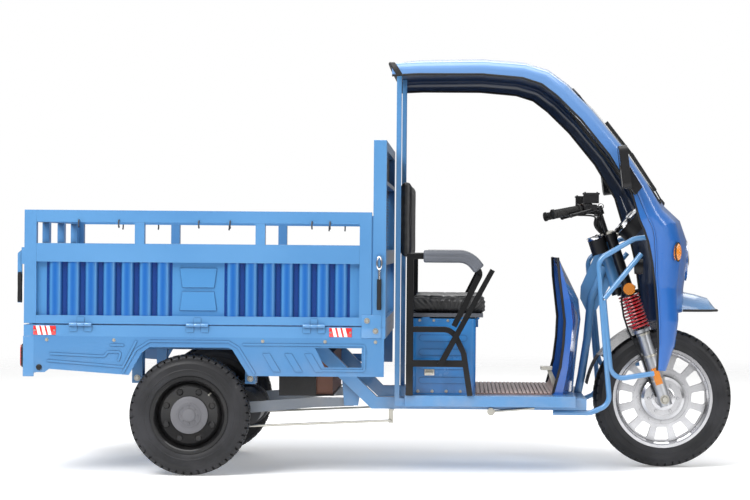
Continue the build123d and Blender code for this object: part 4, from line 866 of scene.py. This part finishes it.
def section_edge(row, count=22):
    """Points round a section from its right flange over the crown to its left flange."""
    half, corner, bow = row.half, row.corner, row.bow
    points = [(half, row.depth), (half, (row.depth + bow + corner) / 2)]
    for step in range(5):
        turn = math.pi / 2 * step / 4
        points.append((half - corner + corner * math.cos(turn), bow + corner - corner * math.sin(turn)))
    for step in range(1, count):
        across = (half - corner) * (1 - step / count)
        points.append((across, crown_drop(row, across)))
    points += [(0.0, 0.0)] + [(-across, inward) for across, inward in reversed(points)]
    return [hood_point(row, -across, inward) for across, inward in points]


def hood_trims():
    """Black rubber along the hood's open edges, the roof's rear edge, the leg shield and the front lip."""
    shield = [
        (0.722, 0.300, 0.345), (0.752, 0.302, 0.454), (0.765, 0.304, 0.560), (0.769, 0.304, 0.651),
        (0.759, 0.300, 0.739), (0.747, 0.284, 0.835), (0.741, 0.250, 0.922),
    ]
    inset, lip_foot_z = 0.002, 0.697
    shape = bmesh.new()
    for side in (-1, 1):
        edge = [hood_point(row, side * (row.half - inset), row.depth) for row in hood_rows]
        swept(shape, edge, round_outline(0.005), (0, 1, 0))
        swept(shape, [(x, side * (y - inset), z) for x, y, z in shield], round_outline(0.006), (0, 1, 0))
    rear = []
    for point in section_edge(hood_rows[0]):
        below_crown = hood_rows[0].z - point.z
        rear.append(point + Vector((0.62 * below_crown - 0.016, 0, 0.001)))
    swept(shape, rear, slab_outline(0.009, 0.024, 0.003), (1, 0, 0))
    lip = [(1.290, 0.171), (1.360, 0.166), (1.414, 0.152), (1.445, 0.118), (1.448, 0.06)]
    rim = [(x, -y, lip_foot_z) for x, y in lip] + [(x, y, lip_foot_z) for x, y in reversed(lip)]
    swept(shape, rim, round_outline(0.0055, 8))
    piece("rubber_edges", shape, "black_rubber", "chassis")


def fairing_creases():
    """A moulded ridge along each side of the fairing."""
    shape = bmesh.new()
    for side in (-1, 1):
        line = []
        for row in side_rows:
            flat_from = row.bow + row.corner
            line.append(hood_point(row, side * row.half, row.depth + (flat_from - row.depth) * 0.62))
        pipe(shape, line, 0.005, 2)
    piece("fairing_creases", shape, "hood_blue", "chassis")


def screen_surround():
    """Rubber seal round the windscreen and the wiper on it."""
    top, foot = Vector((0.812, 0, 1.656)), Vector((1.196, 0, 1.176))
    down, middle = (foot - top).normalized(), (top + foot) / 2
    outline = rounded_ring((foot - top).length / 2, 0.375, 0.04, 6)
    seal = [on_hood(middle + down * along, across) for along, across in outline]
    shape = bmesh.new()
    swept(shape, seal, slab_outline(0.016, 0.011, 0.003), screen_out, ring=True)
    arm = ((1.205, 0.02, 1.165), (1.14, -0.05, 1.246), (1.06, -0.11, 1.346))
    blade = ((1.17, -0.09, 1.209), (1.06, -0.12, 1.346), (0.95, -0.15, 1.484))
    for line, proud, width, height in ((arm, 0.014, 0.012, 0.006), (blade, 0.007, 0.006, 0.016)):
        laid = [on_hood(Vector((x, 0, z)), y, proud) for x, y, z in line]
        swept(shape, laid, slab_outline(width, height, 0.002), screen_out)
    x, y, z = arm[0]
    spindle = [(0.018, -0.02), (0.018, 0.006), (0.012, 0.014), (0.0, 0.014)]
    spun(shape, spindle, on_hood(Vector((x, 0, z)), y, 0.006), screen_out, 24)
    piece("screen_seal_and_wiper", shape, "black_rubber", "chassis")


def nose_fittings():
    """Chrome ring of the headlamp, and the domes and bezels of the turn lamps."""
    ring, domes, bezels = bmesh.new(), bmesh.new(), bmesh.new()
    bulge = [
        (0.0825, -0.012), (0.090, -0.006), (0.092, 0.002),
        (0.088, 0.007), (0.0815, 0.006), (0.0815, -0.012),
    ]
    headlamp = Vector((1.318, 0, 0.912))
    spun(ring, bulge, headlamp, (1, 0, 0), 72)
    piece("headlamp_ring", ring, "chrome", "chassis")
    half_w, half_h, dome_h = 0.016, 0.038, 0.020
    for side in (-1, 1):
        out = Vector((1, side, 0)).normalized()
        facing = out.to_track_quat("Z", "Y").to_matrix().to_4x4()
        turn_lamp = Vector((1.238, side * 0.362, 0.952))
        at = Matrix.Translation(turn_lamp + out * 0.004) @ facing
        swell = at @ Matrix.Diagonal((half_w, half_h, dome_h, 1.0))
        bmesh.ops.create_uvsphere(domes, u_segments=28, v_segments=14, radius=1.0, matrix=swell)
        rim = []
        for turn in turns(36):
            rim.append(at @ Vector((1.04 * half_w * math.cos(turn), 1.04 * half_h * math.sin(turn), 0.004)))
        swept(bezels, rim, round_outline(0.003, 8), out, ring=True)
    piece("turn_lamp_domes", domes, "orange_lens", "chassis", ["turn_lamps"])
    piece("turn_lamp_bezels", bezels, "black_rubber", "chassis")


for hood_name in ("roof", "fairing", "leg_shield", "front_lip", "windscreen"):
    smooth_solid(hood_name)
hood_trims()
fairing_creases()
screen_surround()
nose_fittings()


# Handlebar group
def dials():
    """Chrome rims of the dial and the key switch, and the dial's ticks and needle."""
    rims, marks = bmesh.new(), bmesh.new()
    tilt = math.radians(-30)
    axis = (fork_ahead * math.sin(tilt) + fork_up * math.cos(tilt)).normalized()
    face = on_fork(0.1083, 0, crown_top) + axis * 0.0375
    bezel = [
        (0.0705, -0.014), (0.073, -0.006), (0.072, 0.003), (0.066, 0.006),
        (0.060, 0.001), (0.060, 0.0), (0.0705, 0.0),
    ]
    spun(rims, bezel, face, axis, 56)
    switch = on_fork(-0.0643, -0.075, crown_top + 0.007)
    switch_rim = [(0.0385, -0.012), (0.0405, -0.006), (0.0395, 0.002), (0.034, 0.003), (0.034, 0.0)]
    spun(rims, switch_rim, switch, fork_up, 44)
    spun(rims, [(0.012, 0.0), (0.012, 0.006), (0.009, 0.008), (0.0, 0.008)], switch, fork_up, 24)
    piece("dial_rims", rims, "chrome", "steering")
    side = Vector((0, 1, 0))
    ahead = side.cross(axis)
    for index in range(13):
        turn = math.radians(-120 + 20 * index)
        way = ahead * math.cos(turn) + side * math.sin(turn)
        inner = 0.045 if index % 2 else 0.040
        tick = [face + way * reach + axis * 0.0012 for reach in (inner, 0.051)]
        swept(marks, tick, slab_outline(0.002, 0.001, 0.0003), axis)
    way = ahead * math.cos(2.0) - side * math.sin(2.0)
    needle = [face + way * reach + axis * 0.002 for reach in (-0.010, 0.038)]
    swept(marks, needle, slab_outline(0.003, 0.0012, 0.0004), axis)
    piece("dial_marks", marks, "lamp_lens", "steering")


def grip_ribs():
    """Ribs and flanges over both grips."""
    shape = bmesh.new()
    for side in (-1, 1):
        flip = Vector((1, side, 1))
        for step in range(12):
            place = (grip_start + grip_way * (0.018 + 0.0092 * step)) * flip
            collar(shape, place, grip_way * flip, 0.0168, 0.0182, 0.003, 0.0018, 28)
        for along, radius in ((0.006, 0.024), (0.132, 0.0215)):
            place = (grip_start + grip_way * along) * flip
            collar(shape, place, grip_way * flip, 0.0165, radius, 0.006, 0.004, 32)
    piece("grip_ribs", shape, "black_rubber", "steering")


def bar_fittings():
    """Lids, buttons and lever blades of the hand controls, and the wiring clipped to the bar."""
    pod = grip_start - grip_way * (pod_length / 2 + 0.012)
    box_top = pod - grip_way * 0.016 + Vector((0.006, 0, pod_radius + 0.036))
    lever = pod - grip_way * 0.012 + Vector((0.038, 0, -0.004))
    blade = [
        lever + grip_way * along + Vector((ahead, 0, lift))
        for along, ahead, lift in ((0, 0, 0), (0.05, 0.008, 0), (0.11, 0.012, -0.004), (0.150, 0.014, -0.006))
    ]
    bar = on_fork(-0.012, riser_half + 0.02, bar_up)
    bar_end = pod - grip_way * 0.075
    button = [(0.007, -0.006), (0.007, 0.003), (0.004, 0.005), (0.0, 0.005)]
    lids, buttons, blades, wires = bmesh.new(), bmesh.new(), bmesh.new(), bmesh.new()
    for side in (-1, 1):
        flip = Vector((1, side, 1))
        middle = box_top * flip
        plate(lids, middle - Vector((0.036, 0.021, 0.004)), middle + Vector((0.036, 0.021, 0.005)), 0.003)
        for x in (-0.026, 0.026):
            bolt(lids, middle + Vector((x, 0, 0.005)), (0, 0, 1), 0.004)
        for along, lift in ((0.012, 0.010), (-0.012, -0.004)):
            place = (pod + grip_way * along + Vector((-pod_radius, 0, lift))) * flip
            spun(buttons, button, place, (-1, 0, 0), 20)
        swept(blades, [point * flip for point in blade], slab_outline(0.0135, 0.015, 0.004))
        ball(blades, blade[-1] * flip, 0.0095)
        for lag, out in ((0.0, 0.0), (0.010, 0.012)):
            drop = Vector((0.004 - lag, 0, -0.018 - out))
            wire = [
                pod + Vector((0.0, 0, -pod_radius)),
                pod - grip_way * 0.045 + drop,
                bar.lerp(bar_end, 0.5) + drop,
                bar + drop,
                on_fork(-0.034 - lag, riser_half + 0.014, bar_up - 0.05),
                on_fork(-0.030 - lag, riser_half, crown_top + 0.03),
                on_fork(-0.022, riser_half - 0.008, crown_top),
            ]
            pipe(wires, [point * flip for point in wire], 0.0042)
        for share in (0.25, 0.8):
            hold = bar.lerp(bar_end, share) * flip
            collar(wires, hold, (pod - bar) * flip, 0.0112, 0.0128, 0.005, 0.004, 20)
    piece("control_lids", lids, "black_plastic", "steering")
    piece("control_buttons", buttons, "orange_lens", "steering")
    piece("lever_blades", blades, "black_paint", "steering")
    piece("bar_wiring", wires, "black_rubber", "steering")


def mirror_glass():
    """Glass in the rear face of each mirror, in a raised rim."""
    tilt = Matrix.Rotation(math.radians(-7), 3, "Y")
    glass, rim = bmesh.new(), bmesh.new()
    for side in (-1, 1):
        middle = Vector((1.002, side * 0.510, 1.304))
        ring = [middle + tilt @ Vector((-0.0172, y, z)) for y, z in rounded_ring(0.034, 0.084, 0.020, 5)]
        face = glass.faces.new([glass.verts.new(point) for point in ring])
        thick = bmesh.ops.extrude_face_region(glass, geom=[face])
        front = only(bmesh.types.BMVert, thick["geom"])
        bmesh.ops.translate(glass, verts=front, vec=(-0.0012, 0, 0))
        swept(rim, ring, slab_outline(0.005, 0.005, 0.0015), (1, 0, 0), ring=True)
    piece("mirror_glass", glass, "chrome", "chassis")
    piece("mirror_rims", rim, "black_plastic", "chassis")


dials()
grip_ribs()
bar_fittings()
mirror_glass()


# Load bed
def sleeve(shape, place, slim, full, waist, length):
    """An upright grip, waisted between two swellings."""
    profile = [
        (0.0, 0.0), (slim, 0.002), (full, 0.02), (waist, 0.06),
        (full, 0.11), (slim, length - 0.002), (0.0, length),
    ]
    spun(shape, profile, place, (0, 0, 1), 24)


def headboard_latches():
    """Bright eyes and black grips of the latches on the headboard's posts."""
    low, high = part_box("front_latches")
    x = (low[0] + high[0]) / 2
    latch_y, eye_out = 0.509, 0.006
    rod = [(0.0, -0.02), (0.0062, -0.02), (0.0062, 0.03), (0.0, 0.03)]
    eyes, sleeves = bmesh.new(), bmesh.new()
    for side in (-1, 1):
        y = side * latch_y
        middle = Vector((x, y + side * eye_out, 0.896))
        ring = [middle + Vector((0.010 * math.cos(turn), 0, 0.026 * math.sin(turn))) for turn in turns(28)]
        swept(eyes, ring, round_outline(0.0035, 8), (0, 1, 0), ring=True)
        spun(eyes, rod, (x, y, 0.850), (0, 0, 1), 20)
        bolt(eyes, (x, y - side * 0.003, 0.922), (0, side, 0), 0.005)
        sleeve(sleeves, (x, y, 0.699), 0.0092, 0.0098, 0.0092, 0.132)
    piece("latch_eyes", eyes, "chrome", "chassis")
    piece("latch_grips", sleeves, "black_plastic", "chassis")


def latch_sleeves():
    """Black cover on the hanging grip of each rear latch."""
    for side_name, side in named_sides:
        shape = bmesh.new()
        sleeve(shape, (-1.516, side * 0.4875, 0.719), 0.0098, 0.0102, 0.0096, 0.130)
        piece(f"latch_sleeve_{side_name}", shape, "black_plastic", f"side_board_{side_name}")


def bed_reflectors():
    """Striped reflector plates on the base beam, each with two screws."""
    lens_shape, screws = bmesh.new(), bmesh.new()
    face = bed_face + 0.0035
    for side in (-1, 1):
        for x in (-stripe_start, stripe_repeat - stripe_start):
            plate(lens_shape, (x, side * bed_face, 0.586), (x + 0.094, side * face, 0.624), 0.0012)
            for end in (0.006, 0.088):
                bolt(screws, (x + end, side * face, stripe_mid_z), (0, side, 0), 0.0028)
    piece("striped_reflectors", lens_shape, "striped_lens", "chassis")
    piece("reflector_screws", screws, "zinc_steel", "chassis")


def corner_plates():
    """Gussets at the bed's front corners, bolt heads on them, the skirts and the springs, and skirt plugs."""
    blue, steel, plugs = bmesh.new(), bmesh.new(), bmesh.new()
    face = bed_face + 0.004
    plug = [(0.012, -0.002), (0.012, 0.003), (0.008, 0.005), (0.0, 0.005)]
    # Distance out from the middle, head radius, and the x and z of each head
    heads = [
        (face, 0.008, ((-0.066, 0.655), (-0.03, 0.612))),
        (bed_face, 0.005, [(x, 0.566) for x in (-1.40, -1.12, -0.50, -0.24, -0.03)]),
        (0.353, 0.009, ((-0.567, 0.399), (-0.567, 0.426), (-1.047, 0.399))),
    ]
    for side in (-1, 1):
        out = (0, side, 0)
        plate(blue, (-0.089, side * bed_face, 0.583), (-0.006, side * face, 0.679), 0.0015)
        for reach, radius, places in heads:
            for x, z in places:
                bolt(steel, (x, side * reach, z), out, radius)
        spun(plugs, plug, (-1.431, side * 0.5005, 0.451), out, 28)
    piece("corner_plates", blue, "blue_paint", "chassis")
    piece("bed_bolts", steel, "zinc_steel", "chassis")
    piece("skirt_plugs", plugs, "black_rubber", "chassis")


def tie_hooks():
    """Small hooks of bent rod welded under the top rail of each side board."""
    hook = [
        (0.4985, 1.066), (0.5075, 1.064), (0.5105, 1.052),
        (0.509, 1.040), (0.503, 1.036), (0.5005, 1.041),
    ]
    for side_name, side in named_sides:
        shape = bmesh.new()
        for x in (-1.269, -1.102, -0.769, -0.639, -0.298, -0.223):
            swept(shape, [(x, side * y, z) for y, z in hook], round_outline(0.0032, 8), (1, 0, 0))
        piece(f"tie_hooks_{side_name}", shape, "dark_steel", f"side_board_{side_name}")


def tail_bezels():
    """Dark frame round each tail lamp, and a rib down its lens."""
    frames, ribs = bmesh.new(), bmesh.new()
    for side in (-1, 1):
        mid_y = side * tail_lamp_y
        ring = [(-1.506, mid_y + y, tail_lamp_z + z) for y, z in rounded_ring(0.071, 0.046, 0.013, 4)]
        swept(frames, ring, slab_outline(0.006, 0.014, 0.002), (1, 0, 0), ring=True)
        rib = [(-1.5175, mid_y, tail_lamp_z + reach) for reach in (-0.042, 0.042)]
        swept(ribs, rib, slab_outline(0.004, 0.003, 0.001), (1, 0, 0))
    piece("tail_lamp_frames", frames, "black_plastic", "chassis")
    piece("tail_lamp_ribs", ribs, "red_lens", "chassis")


headboard_latches()
latch_sleeves()
bed_reflectors()
corner_plates()
tie_hooks()
tail_bezels()


# Rider's place
def ribbed_mat():
    """Brown mat of cross ribs that climbs a little towards the leg shield."""
    start, end, pitch, rib_half = 0.392, 0.716, 0.018, 0.0068
    shape = bmesh.new()
    plate(shape, (start, -0.318, 0.3372), (end, 0.318, 0.3405), 0.001)
    for index in range(int((end - start) / pitch)):
        x = start + pitch * (index + 0.5)
        plate(shape, (x - rib_half, -0.316, 0.3395), (x + rib_half, 0.316, 0.3452), 0.0022)
    climb = [(0.716, 0, 0.341), (0.726, 0, 0.347), (0.733, 0, 0.362), (0.738, 0, 0.384)]
    swept(shape, climb, slab_outline(0.56, 0.005, 0.002), (1, 0, 0.2))
    piece("ribbed_mat", shape, "mat_rubber", "chassis", ["floor_mat"])


def armrest_grips():
    """Moulded pads over both arms: a rounded square with a parting groove along the sides."""
    power, groove_share = 3.2, 0.90
    outline = []
    for turn in turns(32):
        across, rise = math.cos(turn), math.sin(turn)
        pinch = groove_share if abs(rise) < 0.12 else 1.0
        swell = arm_pad_half * pinch * (abs(across) ** power + abs(rise) ** power) ** (-1 / power)
        outline.append((across * swell, rise * swell))
    bend_r, dip = 0.085, math.radians(51)
    start_x, bend_x, arm_z = 0.166, 0.318, 0.925
    line = [(start_x + (bend_x - start_x) * step / 6, arm_z) for step in range(6)]
    for step in range(9):
        turn = dip * step / 8
        line.append((bend_x + bend_r * math.sin(turn), arm_z - bend_r * (1 - math.cos(turn))))
    end_x, end_z = line[-1]
    line += [(end_x + math.cos(dip) * reach, end_z - math.sin(dip) * reach) for reach in (0.014, 0.028)]
    shape = bmesh.new()
    for side in (-1, 1):
        swept(shape, [(x, side * arm_y, z) for x, z in line], outline)
    ends = list({edge for face in shape.faces if len(face.verts) > 4 for edge in face.edges})
    bmesh.ops.bevel(shape, geom=ends, offset=0.008, affect="EDGES", segments=3, profile=0.5, material=-1)
    piece("armrest_grips", shape, "grey_plastic", "chassis", ["armrest_pads"])


def seat_box_fittings():
    """Rivets along the seat box's sides, and the hasp on its right side."""
    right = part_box("seat_box")[0][1]
    rivet_y = 0.3302
    shape = bmesh.new()
    for side in (-1, 1):
        for z, radius, places in (
            (0.350, 0.0045, (0.145, 0.205, 0.265, 0.325, 0.365)), (0.652, 0.004, (0.15, 0.21, 0.27, 0.33)),
        ):
            for x in places:
                bolt(shape, (x, side * rivet_y, z), (0, side, 0), radius)
    plate(shape, (0.172, right - 0.003, 0.418), (0.214, right + 0.002, 0.444), 0.0012)
    plate(shape, (0.178, right - 0.009, 0.424), (0.206, right - 0.002, 0.434), 0.002)
    for x in (0.178, 0.208):
        bolt(shape, (x, right - 0.003, 0.440), (0, -1, 0), 0.003)
    piece("seat_box_fittings", shape, "zinc_steel", "chassis")


# Cushions: the cloth run's grid, pressure and length, and how far a pad may stand out of its solid
voxel = 0.0065
air_pressure = 4.0
cloth_frames = 20
proud_of_solid = 0.004


def blown_up(rough, fine, swell):
    """Swells a mesh by a cloth run under pressure, no point further than swell."""
    cloth = rough.modifiers.new("cloth", "CLOTH")
    cloth.settings.use_pressure = True
    cloth.settings.uniform_pressure_force = air_pressure
    cloth.settings.effector_weights.gravity = 0.0
    cloth.point_cache.frame_start, cloth.point_cache.frame_end = 1, cloth_frames
    for moment in range(1, cloth_frames + 1):
        bpy.context.scene.frame_set(moment)
    grown = settled(rough)
    rough.modifiers.clear()
    for point, target in zip(fine.vertices, grown.vertices):
        move = target.co - point.co
        point.co += move * min(1.0, swell / max(move.length, 1e-6))
    bpy.context.scene.frame_set(1)


def stuffed(name, low, high, body, node, swell, crease):
    """A cushion: a rounded block blown up by a cloth run, then its seams pressed in."""
    low, high = Vector(low), Vector(high)
    shape = bmesh.new()
    inset = Vector((swell, swell, swell)) * 0.3
    plate(shape, low + inset, high - inset, 0.012)
    rough = linked(name + "_rough", meshed(name, shape))
    remesh = rough.modifiers.new("voxels", "REMESH")
    remesh.mode = "VOXEL"
    remesh.voxel_size = voxel
    fine = settled(rough)
    rough.modifiers.clear()
    rough.data = fine
    blown_up(rough, fine, swell)
    facing = [point.normal.copy() for point in fine.vertices]
    for point, normal in zip(fine.vertices, facing):
        pressed = point.co - normal * crease(point.co, normal)
        point.co = [
            min(max(value, least - proud_of_solid), most + proud_of_solid)
            for value, least, most in zip(pressed, low, high)
        ]
    soft = bmesh.new()
    soft.from_mesh(fine)
    bpy.data.objects.remove(rough)
    made = piece(name, soft, "seat_cover", body, [node], sharp_deg=180)
    finer = made.modifiers.new("finer", "SUBSURF")
    finer.levels = finer.render_levels = 1


def groove(distance, width, depth):
    """Depth of a sewn channel at a distance from its line."""
    return depth * math.exp(-((distance / width) ** 2))


def seat_creases(place, normal):
    """Welt round the top edge, cross channels on top, and gathers that fan out on the sides."""
    welt_z, fan_x, fan_z = 0.742, 0.285, 0.682
    depth = groove(place.z - welt_z, 0.004, 0.004)
    if normal.z > 0.4:
        for x in (0.19, 0.25, 0.31, 0.37):
            depth += groove(place.x - x, 0.006, 0.006)
    else:
        fan = (place.x - fan_x) / (0.55 + 6.0 * (place.z - fan_z))
        depth += 0.006 * (1 + math.sin(fan * 210)) / 2
        depth += 0.0022 * (1 + math.sin(place.y * 120)) / 2 * max(normal.x, 0.0)
    return depth


def back_creases(place, normal):
    """Border seam and upright channels on the front of the backrest."""
    half_w, foot_z, top_z, seam_in = 0.345, 0.929, 1.232, 0.03
    border = min(half_w - abs(place.y), place.z - foot_z, top_z - place.z)
    if normal.x <= 0.3:
        return 0.0
    depth = groove(border - seam_in, 0.005, 0.006)
    if border > seam_in:
        for y in (-0.21, -0.105, 0.0, 0.105, 0.21):
            depth += groove(place.y - y, 0.006, 0.006)
    return depth


ribbed_mat()
armrest_grips()
seat_box_fittings()
seat_low, seat_high = (0.102, -0.300, 0.6825), (0.442, 0.300, 0.754)
back_low, back_high = (0.0686, -0.360, 0.914), (0.1093, 0.360, 1.247)
stuffed("seat_pad", seat_low, seat_high, "seat_lid", "seat_cushion", 0.012, seat_creases)
stuffed("back_pad", back_low, back_high, "chassis", "backrest", 0.008, back_creases)

for boxy in (
    "bed_floor", "headboard_frame", "rear_panel", "footboard", "seat_base", "roof_pillars", "tailgate_frame",
    "side_board_frame_left", "side_board_frame_right", "battery_tray", "armrest_frames", "brake_pedal",
):
    soften(boxy)


# Stage, light and camera
ambient = 0.24
floor_radius = 9.0
floor_glow = 0.24
lamp_target = Vector((0.0, 0.0, 0.8))


def studio_world():
    """Even light for the machine, and plain white for what looks past it."""
    world = bpy.data.worlds.new("studio")
    world.use_nodes = True
    bpy.context.scene.world = world
    made = Nodes(world.node_tree)
    camera_ray = made.node("ShaderNodeLightPath", out="Is Camera Ray")
    ray_kinds = camera_ray.socket.node.outputs
    glossy, through = (Signal(made, ray_kinds[kind]) for kind in ("Is Glossy Ray", "Is Transmission Ray"))
    seen = camera_ray.most(through)
    height = made.part(made.node("ShaderNodeTexCoord", out="Generated"), "Z")
    banded = height.steps(0.05, 0.55) * 0.85 + 0.22
    background = world.node_tree.nodes["Background"]
    background.inputs["Color"].default_value = colour(1, 1, 1)
    unseen = glossy * (banded - ambient) + ambient
    made.set(background.inputs["Strength"], seen * (1 - unseen) + unseen)


def pale_floor():
    """A pale disc that fades into the white beyond it and keeps the machine's shadow."""
    shape = bmesh.new()
    bmesh.ops.create_circle(shape, cap_ends=True, segments=96, radius=floor_radius)
    floor = linked("floor", meshed("floor", shape))
    finish = Finish("pale_floor", Base_Color=colour(0.97, 0.97, 0.97), Roughness=0.9)
    finish.give("Emission_Color", colour(1, 1, 1))
    finish.give("Emission_Strength", floor_glow)
    reach = finish.node("ShaderNodeVectorMath", {"operation": "LENGTH"}, {0: finish.place}, "Value")
    open_air = finish.node("ShaderNodeBsdfTransparent")
    lit = Signal(finish, finish.shader.outputs[0])
    fade = reach.steps(floor_radius * 0.35, floor_radius * 0.95)
    blended = finish.node("ShaderNodeMixShader", None, {0: fade, 1: lit, 2: open_air})
    finish.set(finish.tree.nodes["Material Output"].inputs["Surface"], blended)
    floor.data.materials.append(finish.material)


def soft_lamp(name, place, size, watts):
    lamp = bpy.data.lights.new(name, "AREA")
    lamp.shape = "RECTANGLE"
    lamp.size, lamp.size_y = size
    lamp.energy = watts
    facing = (lamp_target - place).to_track_quat("-Z", "Y").to_matrix().to_4x4()
    linked(name, lamp).matrix_world = Matrix.Translation(place) @ facing


def photo_camera():
    data = bpy.data.cameras.new("camera")
    data.sensor_width = sensor_mm
    data.lens = focal_px / image_w * sensor_mm
    data.shift_x = (image_w / 2 - axis_px[0]) / image_w
    data.shift_y = (axis_px[1] - image_h / 2) / image_w
    camera = linked("camera", data)
    level = Matrix.Rotation(math.radians(90), 4, "X")
    roll = Matrix.Rotation(math.radians(camera_roll_deg), 4, "Z")
    camera.matrix_world = Matrix.Translation(camera_place) @ level @ roll
    bpy.context.scene.camera = camera


studio_world()
pale_floor()
# Name, place, width and height, watts
for lamp_name, lamp_place, lamp_size, lamp_watts in (
    ("key_lamp", (-3.4, -4.2, 5.2), (3.4, 3.0), 415),
    ("fill_lamp", (5.0, -4.4, 2.4), (0.9, 3.2), 90),
    ("top_lamp", (0.0, -1.0, 5.2), (6.0, 3.0), 240),
    ("back_lamp", (0.5, 5.0, 4.5), (5.0, 2.5), 110),
):
    soft_lamp(lamp_name, Vector(lamp_place), lamp_size, lamp_watts)
photo_camera()
bpy.context.scene.view_settings.view_transform = "Standard"
